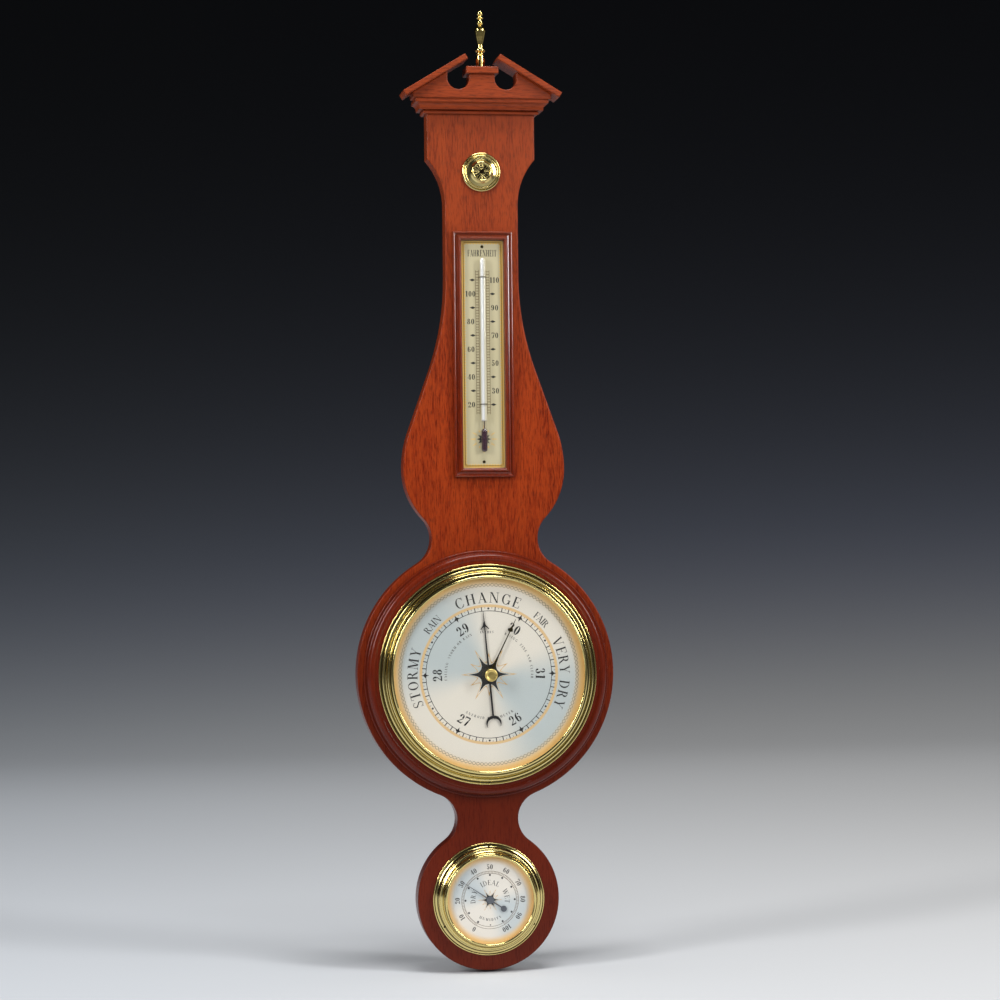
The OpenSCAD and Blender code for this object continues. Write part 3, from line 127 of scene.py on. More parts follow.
class Finish:
    """A material. add() makes any node: settings first, then the values or links of its sockets."""

    def __init__(self, name, kind="ShaderNodeBsdfPrincipled"):
        self.material = bpy.data.materials.new(name)
        self.material.use_nodes = True
        self.tree = self.material.node_tree
        self.tree.nodes.clear()
        self.end = self.tree.nodes.new("ShaderNodeOutputMaterial")
        self.shader = self.tree.nodes.new(kind)
        self.tree.links.new(self.shader.outputs[0], self.end.inputs[0])

    def add(self, kind, settings=None, *values, output=0, **named):
        node = self.tree.nodes.new(kind)
        for key, value in (settings or {}).items():
            if key == "stops":
                ramp = node.color_ramp
                while len(ramp.elements) < len(value):
                    ramp.elements.new(0.5)
                for element, (place, colour) in zip(ramp.elements, value):
                    element.position = place
                    element.color = (*colour, 1)
            else:
                setattr(node, key, value)
        open_sockets = [s for s in node.inputs if s.enabled]
        for socket, value in zip(open_sockets, values):
            self.feed(socket, value)
        for key, value in named.items():
            wanted = key.replace("_", " ").lower()
            self.feed(next(s for s in open_sockets if s.name.lower() == wanted), value)
        outs = [s for s in node.outputs if s.enabled]
        return Field(self, outs[output] if isinstance(output, int) else node.outputs[output])

    def feed(self, socket, value):
        if isinstance(value, Field):
            self.tree.links.new(value.socket, socket)
        elif isinstance(value, (tuple, list)) and len(value) == 3 and len(socket.default_value) == 4:
            socket.default_value = (*value, 1)
        else:
            socket.default_value = value

    def set(self, **values):
        for key, value in values.items():
            self.feed(self.shader.inputs[key.replace("_", " ")], value)
        return self

    def place(self, centre=(0, 0, 0), scale=(1, 1, 1)):
        """Object coordinates from a centre, in metres, stretched by scale."""
        here = self.add("ShaderNodeTexCoord", output="Object")
        moved = self.add("ShaderNodeVectorMath", {"operation": "SUBTRACT"}, here, centre)
        return self.add("ShaderNodeVectorMath", {"operation": "MULTIPLY"}, moved, scale)

    def noise(self, where, scale, detail=3.0, rough=0.55):
        return self.add("ShaderNodeTexNoise", {}, where, Scale=scale, Detail=detail, Roughness=rough)

    def mix(self, factor, a, b, blend="MIX"):
        """Colour b over colour a."""
        node = self.tree.nodes.new("ShaderNodeMix")
        node.data_type = "RGBA"
        node.blend_type = blend
        for socket, value in zip((node.inputs[0], node.inputs[6], node.inputs[7]), (factor, a, b)):
            self.feed(socket, value)
        return Field(self, node.outputs[2])

    def radius(self, centre_z):
        """Distance from a dial's axis, in millimetres."""
        flat = self.place((0, 0, centre_z), (1000, 0, 1000))
        return self.add("ShaderNodeVectorMath", {"operation": "LENGTH"}, flat, output="Value")

    def outer(self):
        """1 on a face seen from outside its solid, 0 from inside."""
        return 1 - self.add("ShaderNodeNewGeometry", output="Backfacing")

    def angle(self, centre_z):
        """Angle about a dial's axis, clockwise from the top."""
        parts = [self.add("ShaderNodeSeparateXYZ", {}, self.place((0, 0, centre_z)), output=axis) for axis in "XZ"]
        return self.maths_of("ARCTAN2", *parts)

    def maths_of(self, operation, *values):
        return self.add("ShaderNodeMath", {"operation": operation}, *values)

    def bump(self, height, strength, distance):
        return self.add("ShaderNodeBump", {}, Height=height, Strength=strength, Distance=distance)


# ---------------------------------------------------------------- finishes

def mahogany(name, grain, seed, light=(0.33, 0.041, 0.0055), mid=(0.20, 0.0175, 0.0030),
             dark=(0.070, 0.0058, 0.0012), coat=0.06, arris=0.0022, gloss=0.24):
    """Lacquered mahogany. grain is the axis that the fibres follow. Painted shade darkens it towards the bottom and a
    painted sheen tints it towards the top.
    """
    finish = Finish(name)

    def grained(ratio):
        return finish.place((0.37 * seed, 0.11 * seed, 0.23 * seed),
                            tuple(1.0 if axis == grain else ratio for axis in "xyz"))

    figure = finish.noise(grained(6.0), 9.0, 2.0)
    ribbon = finish.noise(grained(11.0), 13.0, 3.0, 0.55)
    fibre = finish.noise(grained(11.0), 90.0, 3.0, 0.7)
    pores = finish.noise(grained(13.0), 130.0, 1.0, 0.4).between(0.58, 0.70)
    tone = finish.mix(ribbon.between(0.35, 0.68) * 0.7, mid, light)
    tone = finish.mix(figure.between(0.42, 0.75) * 0.35, tone, dark)
    tone = finish.mix(fibre.between(0.36, 0.66) * 0.85, tone, light)
    tone = finish.mix(fibre.between(0.50, 0.30) * 0.5, tone, dark)
    tone = finish.mix(pores * 0.5, tone, (0.030, 0.004, 0.001))
    height = finish.add("ShaderNodeSeparateXYZ", {}, finish.add("ShaderNodeTexCoord", output="Object"), output="Z")
    # painted shade: the wood darkens towards the bottom, where less light falls on it
    tone = finish.mix(height.between(-0.25, -0.62) * 0.82, tone, dark)
    # painted sheen: a greyer brown towards the top stands in for the haze of light reflected off the upper case
    tone = finish.mix(height.between(-0.30, 0.04) * 0.22, tone, (0.21, 0.075, 0.034))
    edge = finish.add("ShaderNodeBevel", {"samples": 8}, Radius=arris)
    relief = finish.add("ShaderNodeBump", {}, Height=fibre * 0.5 - pores, Strength=0.10, Distance=0.0002,
                        Normal=edge)
    finish.set(Base_Color=tone, Roughness=gloss + fibre * 0.08 + pores * 0.1, Coat_Weight=coat,
               Coat_Roughness=0.12, Normal=relief, IOR=1.46, Specular_IOR_Level=0.19)
    return finish.material


def bright_brass(name, rough=0.07):
    finish = Finish(name)
    here = finish.place()
    cloud = finish.noise(here, 34.0, 3.0)
    fine = finish.noise(here, 900.0, 2.0)
    tone = finish.mix(cloud.between(0.5, 0.85) * 0.35, BRASS_TONE, BRASS_TARNISH)
    finish.set(Base_Color=tone, Metallic=1.0, Roughness=rough + cloud * 0.05 + fine * 0.03)
    return finish.material


def turned_brass(name, centre_z, rough=0.11, flower=0.0, grooves=()):
    """Spun brass: fine rings about its axis, with painted shade in its grooves. flower is the radius of a
    petalled middle, dark between petals."""
    finish = Finish(name)
    radius = finish.radius(centre_z)
    rings = finish.add("ShaderNodeTexNoise", {"noise_dimensions": "1D"}, W=radius, Scale=5.0, Detail=2.0)
    cloud = finish.noise(finish.place(), 26.0, 3.0)
    tone = finish.mix(cloud.between(0.5, 0.85) * 0.3, SPUN_TONE, SPUN_TARNISH)
    tone = finish.mix(rings.between(0.5, 0.8) * 0.10, tone, SPUN_LIGHT)
    # painted shade: each groove's band of radii is darkened where dark reflections and shade fall in the groove
    for inner, outer in grooves:
        dark = radius.between(inner - 0.15, inner + 0.15) * (1 - radius.between(outer - 0.15, outer + 0.15))
        tone = finish.mix(dark * 0.85, tone, (0.055, 0.045, 0.018))
    if flower > 0:
        petals = (finish.angle(centre_z) * 16).cosine().between(-0.2, 0.7) * radius.between(1.6, 2.4)
        hollow = 1 - radius.between(flower, flower + 0.5)
        tone = finish.mix(hollow * (1 - petals * 0.8), tone, (0.040, 0.026, 0.010))
    finish.set(Base_Color=tone, Metallic=1.0, Roughness=rough + rings * 0.04 + cloud * 0.03)
    return finish.material


def spun_metal(name, colour, rough, metallic=1.0, scale=400.0):
    """Plain worked metal of the inner pieces."""
    finish = Finish(name)
    here = finish.place()
    cloud = finish.noise(here, 60.0, 3.0)
    fine = finish.noise(here, scale, 2.0)
    darker = tuple(0.55 * c for c in colour)
    tone = finish.mix(cloud.between(0.4, 0.8) * 0.5, colour, darker)
    finish.set(Base_Color=tone, Metallic=metallic, Roughness=rough + fine * 0.12,
               Normal=finish.bump(fine, 0.08, 0.0001))
    return finish.material


def silvered(name, centre_z, warm, cool, rim_from, rim_full, circle_from=0.0, circle_to=0.0):
    """Silvered dial with a painted bow-tie reflection, warm to cool round its axis, and a painted warm reflection that
    turns it gold at its rim. The larger dial has a pale orange circle.
    """
    finish = Finish(name)
    radius = finish.radius(centre_z)
    rings = finish.add("ShaderNodeTexNoise", {"noise_dimensions": "1D"}, W=radius, Scale=3.0, Detail=3.0)
    cloud = finish.noise(finish.place(), 9.0, 2.0)
    grit = finish.noise(finish.place(), 1600.0, 2.0)
    # painted reflection: spun silver's bow-tie reflection, painted from warm to cool by the angle round the axis
    painted_reflection = (finish.angle(centre_z) * 2 + 2.1).cosine() * 0.5 + 0.3 + cloud * 0.4
    tone = finish.mix(painted_reflection.between(0.2, 0.95), warm, cool)
    tone = finish.mix(rings.between(0.3, 0.8) * 0.12, tone, (0.60, 0.60, 0.55))
    # painted reflection: the dial warms to gold towards its rim, standing in for the brass bezel's glint on the silver
    tone = finish.mix(radius.between(rim_from, rim_full) * 0.9, tone, (0.88, 0.54, 0.16))
    if circle_to > 0:
        circle = radius.between(circle_from, circle_from + 0.2) * (1 - radius.between(circle_to, circle_to + 0.2))
        tone = finish.mix(circle * 0.8, tone, (0.70, 0.44, 0.16))
    finish.set(Base_Color=tone, Metallic=0.12, Roughness=0.36 + grit * 0.12 + rings * 0.05,
               Normal=finish.bump(grit, 0.03, 0.0001))
    return finish.material


def champagne():
    finish = Finish("champagne plate")
    fine = finish.noise(finish.place((0, 0, 0), (1, 1, 0.06)), 1500.0, 2.0)
    cloud = finish.noise(finish.place(), 20.0, 2.0)
    tone = finish.mix(cloud, (0.56, 0.49, 0.29), (0.64, 0.58, 0.38))
    finish.set(Base_Color=tone, Metallic=0.3, Roughness=0.36 + fine * 0.16, Normal=finish.bump(fine, 0.06, 0.0001))
    return finish.material


def ink(name, colour, metallic=0.0, rough=0.45):
    finish = Finish(name)
    grit = finish.noise(finish.place(), 2500.0, 2.0)
    tone = finish.mix(grit, tuple(0.8 * c for c in colour), tuple(min(1.0, 1.2 * c) for c in colour))
    finish.set(Base_Color=tone, Metallic=metallic, Roughness=rough + grit * 0.1)
    return finish.material


def black_lacquer():
    finish = Finish("black lacquer")
    grit = finish.noise(finish.place(), 900.0, 2.0)
    tone = finish.mix(grit, (0.007, 0.007, 0.008), (0.016, 0.015, 0.015))
    finish.set(Base_Color=tone, Roughness=0.26 + grit * 0.12, Coat_Weight=0.4, Coat_Roughness=0.08)
    return finish.material


def window_glass():
    """Thin clear pane: only its reflection is seen."""
    finish = Finish("clear pane")
    grazing = finish.add("ShaderNodeFresnel", {}, 1.45)
    wave = finish.noise(finish.place(), 18.0, 1.0)
    finish.set(Base_Color=(0.96, 0.98, 0.97), Metallic=1.0, Roughness=0.02 + wave * 0.015,
               Alpha=grazing * 0.85 * finish.outer())
    return finish.material


def tube_glass():
    """Glass of the thermometer: clear round the bulb, with a white enamel back along the tube."""
    finish = Finish("thermometer glass")
    here = finish.place((0, 0, 0), (1000, 1000, 1000))
    parts = finish.add("ShaderNodeSeparateXYZ", {}, here, output="Z")
    side = finish.add("ShaderNodeSeparateXYZ", {}, here, output="X")
    above = parts.between(-253.0, -250.0)
    grazing = finish.add("ShaderNodeFresnel", {}, 1.45)
    bore = 1 - side.maths("ABSOLUTE", side, 0.0).between(0.35, 0.6)
    right = side.between(-0.2, 0.5)
    tone = finish.mix(above, (0.10, 0.08, 0.09), (0.78, 0.79, 0.77))
    tone = finish.mix(right * above, tone, (0.64, 0.60, 0.44))
    tone = finish.mix(bore * above * 0.5, tone, (0.42, 0.41, 0.38))
    finish.set(Base_Color=tone, Roughness=0.05 + above * 0.03,
               Alpha=(0.12 + grazing * 0.5 + above * 0.75) * finish.outer(), Coat_Weight=1.0, Coat_Roughness=0.03)
    return finish.material


def dark_spirit():
    finish = Finish("dark spirit")
    cloud = finish.noise(finish.place(), 300.0, 2.0)
    tone = finish.mix(cloud, (0.030, 0.012, 0.022), (0.060, 0.022, 0.034))
    finish.set(Base_Color=tone, Roughness=0.12 + cloud * 0.05, Coat_Weight=1.0, Coat_Roughness=0.03)
    return finish.material


def backdrop_paper():
    """Pale floor round the object. Up the backdrop the paper darkens by an even ratio, through slate blue to
    near black, as painted shade for the light's falloff, and painted shade darkens it towards the camera."""
    finish = Finish("backdrop paper")
    here = finish.add("ShaderNodeTexCoord", output="Object")
    across, depth, height = (finish.add("ShaderNodeSeparateXYZ", {}, here, output=axis) for axis in "XYZ")
    climb = (depth + height - across * 0.15) / 8
    # painted shade: the paper darkens up the backdrop as the light falls off
    painted_falloff = climb.between(0.1, 1.0)
    tone = finish.mix(painted_falloff.between(0.05, 0.4), (0.68, 0.68, 0.68), (0.50, 0.54, 0.68))
    tone = finish.mix(across.between(-1.0, 1.0), finish.mix(0.5, tone, (0.50, 0.56, 0.64)), tone)
    tone = finish.mix(finish.maths_of("POWER", 0.01, painted_falloff), (0, 0, 0), tone)
    # painted shade: the floor darkens towards the camera
    tone = finish.mix(depth.between(-0.4, -1.2) * 0.7, tone, (0.05, 0.05, 0.05))
    finish.set(Base_Color=tone, Roughness=0.9, Specular_IOR_Level=0.1)
    return finish.material


def stage_and_lights():
    """One sweep of paper: floor, curve and wall."""
    turns = [i * math.pi / 2 / CURVE_STEPS for i in range(CURVE_STEPS + 1)]
    curve = [(CURVE_START + CURVE_RADIUS * math.sin(a), CURVE_RADIUS - CURVE_RADIUS * math.cos(a)) for a in turns]
    profile = [(SWEEP_NEAR, 0.0)] + curve + [(CURVE_START + CURVE_RADIUS, SWEEP_TOP)]
    points = [(x, y, FLOOR_Z + z) for y, z in profile for x in (-SWEEP_SIDE, SWEEP_SIDE)]
    faces = [(2 * i, 2 * i + 1, 2 * i + 3, 2 * i + 2) for i in range(len(profile) - 1)]
    mesh = bpy.data.meshes.new("sweep")
    mesh.from_pydata(points, [], faces)
    mesh.polygons.foreach_set("use_smooth", [True] * len(faces))
    mesh.materials.append(backdrop_paper())
    sweep = bpy.data.objects.new("sweep", mesh)
    bpy.context.scene.collection.objects.link(sweep)

    def softbox(name, place, target, size, power):
        lamp = bpy.data.lights.new(name, "AREA")
        lamp.shape = "RECTANGLE"
        lamp.size, lamp.size_y = size
        lamp.energy = power
        obj = bpy.data.objects.new(name, lamp)
        obj.location = place
        obj.rotation_euler = (Vector(target) - Vector(place)).to_track_quat("-Z", "Y").to_euler()
        bpy.context.scene.collection.objects.link(obj)

    softbox("left softbox", (-2.2, -1.5, 0.70), (0, 0, -0.3), (0.45, 1.4), 40)
    softbox("right softbox", (2.1, -1.8, 0.70), (0, 0, -0.3), (0.45, 1.4), 40)
    softbox("top softbox", (0.1, -0.9, 2.0), (0, 0, -0.4), (1.2, 0.7), 40)
    softbox("front card", (1.05, -3.3, 0.75), (0, 0, 0.0), (0.9, 0.9), 4.5)

    world = bpy.data.worlds.new("studio")
    bpy.context.scene.world = world
    world.use_nodes = True
    tree = world.node_tree
    air = tree.nodes["Background"]
    ray = tree.nodes.new("ShaderNodeLightPath")
    level = tree.nodes.new("ShaderNodeMapRange")
    level.inputs["To Min"].default_value = 0.42
    level.inputs["To Max"].default_value = 0.02
    tree.links.new(ray.outputs["Is Glossy Ray"], level.inputs[0])
    tree.links.new(level.outputs[0], air.inputs[1])
    air.inputs[0].default_value = (0.95, 0.97, 1.0, 1)
    bpy.context.scene.view_settings.view_transform = "Standard"


# ---------------------------------------------------------------- flat printed solids

def arc_points(cx, cy, rx, ry, start, end, steps):
    return [(cx + rx * math.cos(math.radians(start + (end - start) * i / steps)),
             cy + ry * math.sin(math.radians(start + (end - start) * i / steps))) for i in range(steps + 1)]


class Print:
    """Thin flat solids on a face, drawn in millimetres: x to the right, y up from the centre."""

    def __init__(self, centre_z, face, thick=INK):
        self.z = centre_z
        self.back = face
        self.front = face + thick
        self.points = []
        self.faces = []

    def prism(self, outline):
        area = sum(a[0] * b[1] - b[0] * a[1] for a, b in zip(outline, outline[1:] + outline[:1]))
        if area < 0:
            outline = outline[::-1]
        first, count = len(self.points), len(outline)
        for level in (self.front, self.back):
            self.points += [(x * MM, -level * MM, self.z + y * MM) for x, y in outline]
        self.faces.append([first + i for i in range(count)])
        self.faces.append([first + count + i for i in reversed(range(count))])
        for i in range(count):
            j = (i + 1) % count
            self.faces.append([first + i, first + count + i, first + count + j, first + j])

    def band(self, outer, inner, closed=False):
        """Strip between two lines of as many points each."""
        first, count = len(self.points), len(outer)
        turn = (outer[0][0] - inner[0][0]) * (outer[1][1] - inner[0][1]) \
            - (outer[1][0] - inner[0][0]) * (outer[0][1] - inner[0][1])
        if turn < 0:
            outer, inner = inner, outer
        for level in (self.front, self.back):
            for line in (outer, inner):
                self.points += [(x * MM, -level * MM, self.z + y * MM) for x, y in line]
        of, inf, ob, inb = (first + k * count for k in range(4))
        for i in range(count if closed else count - 1):
            j = (i + 1) % count
            self.faces += [[inf + i, of + i, of + j, inf + j], [inb + i, inb + j, ob + j, ob + i],
                           [of + i, ob + i, ob + j, of + j], [inf + i, inf + j, inb + j, inb + i]]
        if not closed:
            k = count - 1
            self.faces += [[inf, inb, ob, of], [inf + k, of + k, ob + k, inb + k]]

    def ring(self, radius, width, steps=180):
        angles = [TAU * i / steps for i in range(steps)]
        self.band([((radius + width / 2) * math.cos(a), (radius + width / 2) * math.sin(a)) for a in angles],
                  [((radius - width / 2) * math.cos(a), (radius - width / 2) * math.sin(a)) for a in angles], True)

    def dot(self, x, y, radius, sides=16):
        self.prism([(x + radius * math.cos(TAU * i / sides), y + radius * math.sin(TAU * i / sides))
                    for i in range(sides)])

    def word(self, text, size, place, gap=0.10, weight=1.0, wide=1.0, span=None):
        """Letters one after another; place() turns a pen position and a letter's point into the face's.
        span is the whole word's length, which sets the gap."""
        body = sum(GLYPHS[c][0] * wide for c in text)
        if span:
            gap = (span / size - body) / max(1, len(text) - 1)
        pen = -(body + gap * (len(text) - 1)) / 2
        for c in text:
            advance, strokes = GLYPHS[c]
            for stroke in strokes:
                for kind, lines in letter_shapes(stroke, weight):
                    moved = [[place(size * (pen + wide * advance / 2), size * wide * (x - advance / 2), size * y)
                              for x, y in line] for line in lines]
                    if kind == "prism":
                        self.prism(moved[0])
                    else:
                        self.band(moved[0], moved[1])
            pen += wide * advance + gap

    def arc_word(self, text, size, radius, middle, inward=False, sweep=None, **how):
        """Word on a circle. radius is that of the letters' feet, middle the angle clockwise from the top,
        sweep the angle that the word fills."""
        mean = radius - size / 2 if inward else radius + size / 2

        def outward_place(along, x, y):
            a = math.radians(middle) + along / mean
            return (x * math.cos(a) + (radius + y) * math.sin(a), -x * math.sin(a) + (radius + y) * math.cos(a))

        def inward_place(along, x, y):
            a = math.radians(middle) - along / mean
            return (-x * math.cos(a) + (radius - y) * math.sin(a), x * math.sin(a) + (radius - y) * math.cos(a))

        if sweep:
            how["span"] = math.radians(sweep) * mean
        self.word(text, size, inward_place if inward else outward_place, **how)

    def line_word(self, text, size, cx, cy, **how):
        self.word(text, size, lambda along, x, y: (cx + along + x, cy + y), **how)

    def finish(self, name, material, slot, body="case"):
        mesh = bpy.data.meshes.new(name)
        mesh.from_pydata(self.points, [], self.faces)
        mesh.validate()
        mesh.materials.append(material)
        piece = bpy.data.objects.new(name, mesh)
        bpy.context.scene.collection.objects.link(piece)
        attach(piece, body)
        return piece


# Letters and numerals with thick stems and hairlines, cap height 1. Strokes:
# ("l", x0, y0, x1, y1, width) straight, width measured level; ("h", x0, x1, y, thickness) level bar;
# ("a", cx, cy, rx, ry, start, end, thick, thin) arc, thick at its sides; ("b", x, y, radius) ball.
T, H = 0.17, 0.04


def feet(*places):
    return [("h", x - w, x + w, y, H) for x, y, w in places]


def stem(x, width=T):
    return [("l", x, 0, x, 1, width)]


GLYPHS = {
    " ": (0.32, []),
    "A": (0.82, [("l", 0.13, 0, 0.41, 1, H), ("l", 0.69, 0, 0.39, 1, T), ("h", 0.22, 0.60, 0.33, H)]
          + feet((0.13, 0.02, 0.11), (0.69, 0.02, 0.14))),
    "B": (0.70, stem(0.18) + [("a", 0.32, 0.75, 0.24, 0.25, -90, 90, T, H),
          ("a", 0.34, 0.26, 0.29, 0.26, -90, 90, T, H),
          ("h", 0.05, 0.34, 0.98, H), ("h", 0.18, 0.36, 0.51, H), ("h", 0.05, 0.36, 0.02, H)]),
    "C": (0.78, [("a", 0.44, 0.5, 0.38, 0.51, 42, 318, T, H), ("l", 0.71, 0.98, 0.71, 0.68, H),
          ("l", 0.71, 0.30, 0.71, 0.16, H)]),
    "D": (0.82, stem(0.18) + [("a", 0.30, 0.5, 0.46, 0.5, -90, 90, T, H), ("h", 0.05, 0.32, 0.98, H),
          ("h", 0.05, 0.32, 0.02, H)]),
    "E": (0.68, stem(0.18) + [("h", 0.05, 0.62, 0.98, H), ("h", 0.18, 0.46, 0.52, H), ("h", 0.05, 0.64, 0.02, H),
          ("l", 0.62, 1.0, 0.62, 0.76, H), ("l", 0.64, 0.0, 0.64, 0.26, H), ("l", 0.46, 0.62, 0.46, 0.42, H)]),
    "F": (0.64, stem(0.18) + [("h", 0.05, 0.60, 0.98, H), ("h", 0.18, 0.46, 0.50, H), ("l", 0.60, 1.0, 0.60, 0.76, H),
          ("l", 0.46, 0.60, 0.46, 0.40, H)] + feet((0.18, 0.02, 0.14))),
    "G": (0.84, [("a", 0.44, 0.5, 0.38, 0.51, 42, 322, T, H), ("l", 0.71, 0.98, 0.71, 0.68, H),
          ("l", 0.72, 0.06, 0.72, 0.42, 0.13)] + feet((0.70, 0.42, 0.14))),
    "H": (0.88, stem(0.18) + stem(0.70) + [("h", 0.18, 0.70, 0.52, H)]
          + feet((0.18, 0.02, 0.14), (0.18, 0.98, 0.14), (0.70, 0.02, 0.14), (0.70, 0.98, 0.14))),
    "I": (0.36, stem(0.18) + feet((0.18, 0.02, 0.14), (0.18, 0.98, 0.14))),
    "L": (0.66, stem(0.18) + [("h", 0.05, 0.60, 0.02, H), ("l", 0.60, 0.0, 0.60, 0.30, H)]
          + feet((0.18, 0.98, 0.14))),
    "M": (1.02, [("l", 0.15, 0, 0.15, 1, H), ("l", 0.20, 1, 0.50, 0.02, T), ("l", 0.50, 0.02, 0.80, 1, H)]
          + stem(0.84) + feet((0.15, 0.02, 0.11), (0.16, 0.98, 0.12), (0.84, 0.02, 0.14), (0.86, 0.98, 0.12))),
    "N": (0.90, [("l", 0.15, 0, 0.15, 1, H), ("l", 0.19, 1, 0.74, 0.0, T), ("l", 0.76, 0, 0.76, 1, H)]
          + feet((0.15, 0.02, 0.11), (0.16, 0.98, 0.12), (0.76, 0.98, 0.12))),
    "O": (0.84, [("a", 0.42, 0.5, 0.38, 0.51, 0, 360, T, H)]),
    "R": (0.80, stem(0.18) + [("a", 0.34, 0.75, 0.26, 0.25, -90, 90, T, H), ("h", 0.05, 0.36, 0.98, H),
          ("h", 0.18, 0.38, 0.51, H), ("l", 0.40, 0.51, 0.66, 0.0, T)] + feet((0.18, 0.02, 0.14), (0.70, 0.02, 0.10))),
    "S": (0.62, [("a", 0.31, 0.75, 0.22, 0.26, 35, 230, 0.11, H), ("a", 0.31, 0.26, 0.24, 0.27, -145, 50, 0.11, H),
          ("l", 0.13, 0.68, 0.49, 0.36, 0.17), ("l", 0.53, 0.98, 0.53, 0.72, H), ("l", 0.08, 0.02, 0.08, 0.28, H)]),
    "T": (0.74, stem(0.37) + [("h", 0.05, 0.69, 0.98, H), ("l", 0.05, 1.0, 0.05, 0.74, H),
          ("l", 0.69, 1.0, 0.69, 0.74, H)] + feet((0.37, 0.02, 0.14))),
    "U": (0.84, [("l", 0.18, 0.3, 0.18, 1, T), ("a", 0.43, 0.3, 0.32, 0.31, 180, 360, 0.12, H),
          ("l", 0.72, 0.3, 0.72, 1, H)] + feet((0.18, 0.98, 0.14), (0.72, 0.98, 0.12))),
    "V": (0.82, [("l", 0.15, 1, 0.42, 0, T), ("l", 0.44, 0, 0.70, 1, H)]
          + feet((0.15, 0.98, 0.14), (0.70, 0.98, 0.11))),
    "W": (1.14, [("l", 0.15, 1, 0.36, 0, T), ("l", 0.38, 0, 0.58, 1, H), ("l", 0.58, 1, 0.78, 0, T),
          ("l", 0.80, 0, 1.02, 1, H)] + feet((0.15, 0.98, 0.14), (1.02, 0.98, 0.11))),
    "Y": (0.80, [("l", 0.15, 1, 0.40, 0.44, T), ("l", 0.42, 0.44, 0.68, 1, H), ("l", 0.40, 0, 0.40, 0.46, T)]
          + feet((0.15, 0.98, 0.14), (0.68, 0.98, 0.11), (0.40, 0.02, 0.14))),
    "0": (0.64, [("a", 0.32, 0.5, 0.28, 0.51, 0, 360, 0.20, H)]),
    "1": (0.50, [("l", 0.27, 0, 0.27, 1, 0.20), ("l", 0.07, 0.84, 0.24, 1.0, 0.07)] + feet((0.27, 0.02, 0.20))),
    "2": (0.64, [("a", 0.31, 0.71, 0.25, 0.29, 165, -28, 0.18, H), ("l", 0.10, 0.06, 0.50, 0.56, 0.10),
          ("h", 0.06, 0.56, 0.07, 0.14), ("l", 0.58, 0.05, 0.60, 0.28, 0.05), ("b", 0.15, 0.72, 0.09)]),
    "3": (0.64, [("a", 0.29, 0.76, 0.23, 0.25, 150, -90, 0.17, H), ("a", 0.30, 0.26, 0.28, 0.27, 90, -150, 0.20, H),
          ("b", 0.14, 0.80, 0.08), ("b", 0.13, 0.20, 0.09)]),
    "4": (0.68, [("l", 0.45, 1, 0.06, 0.28, 0.06), ("h", 0.04, 0.66, 0.28, 0.06), ("l", 0.46, 0, 0.46, 1, 0.19)]
          + feet((0.46, 0.02, 0.17))),
    "5": (0.62, [("h", 0.14, 0.52, 0.93, 0.14), ("l", 0.14, 0.50, 0.14, 0.98, 0.05),
          ("a", 0.29, 0.31, 0.27, 0.32, 128, -150, 0.20, H), ("b", 0.13, 0.20, 0.09)]),
    "6": (0.66, [("a", 0.34, 0.30, 0.26, 0.31, 0, 360, 0.17, H), ("a", 0.40, 0.5, 0.34, 0.51, 85, 200, 0.20, H),
          ("b", 0.50, 0.83, 0.08)]),
    "7": (0.60, [("h", 0.06, 0.56, 0.93, 0.14), ("l", 0.56, 0.90, 0.26, 0, 0.10), ("l", 0.44, 0.55, 0.27, 0, 0.18),
          ("l", 0.06, 0.98, 0.06, 0.72, 0.05)]),
    "8": (0.66, [("a", 0.33, 0.76, 0.22, 0.25, 0, 360, 0.16, H), ("a", 0.33, 0.27, 0.28, 0.28, 0, 360, 0.19, H)]),
    "9": (0.66, [("a", 0.32, 0.70, 0.26, 0.31, 0, 360, 0.17, H), ("a", 0.26, 0.5, 0.34, 0.51, -95, 20, 0.20, H),
          ("b", 0.16, 0.17, 0.08)]),
}


def letter_shapes(stroke, weight):
    """Outlines of one stroke, as a prism's outline or a band's two lines."""
    kind, v = stroke[0], stroke[1:]
    if kind == "l":
        x0, y0, x1, y1, w = v
        w = w * weight if w > 0.05 else w
        return [("prism", [[(x0 - w / 2, y0), (x0 + w / 2, y0), (x1 + w / 2, y1), (x1 - w / 2, y1)]])]
    if kind == "h":
        x0, x1, y, t = v
        return [("prism", [[(x0, y - t / 2), (x1, y - t / 2), (x1, y + t / 2), (x0, y + t / 2)]])]
    if kind == "b":
        x, y, r = v
        return [("prism", [[(x + r * math.cos(TAU * i / 10), y + r * math.sin(TAU * i / 10)) for i in range(10)]])]
    cx, cy, rx, ry, start, end, thick, thin = v
    steps = max(6, int(abs(end - start) / 15))
    outer = arc_points(cx, cy, rx, ry, start, end, steps)
    inner = arc_points(cx, cy, rx - thick * weight, ry - thin, start, end, steps)
    return [("band", [outer, inner])]


# ---------------------------------------------------------------- repeated marks

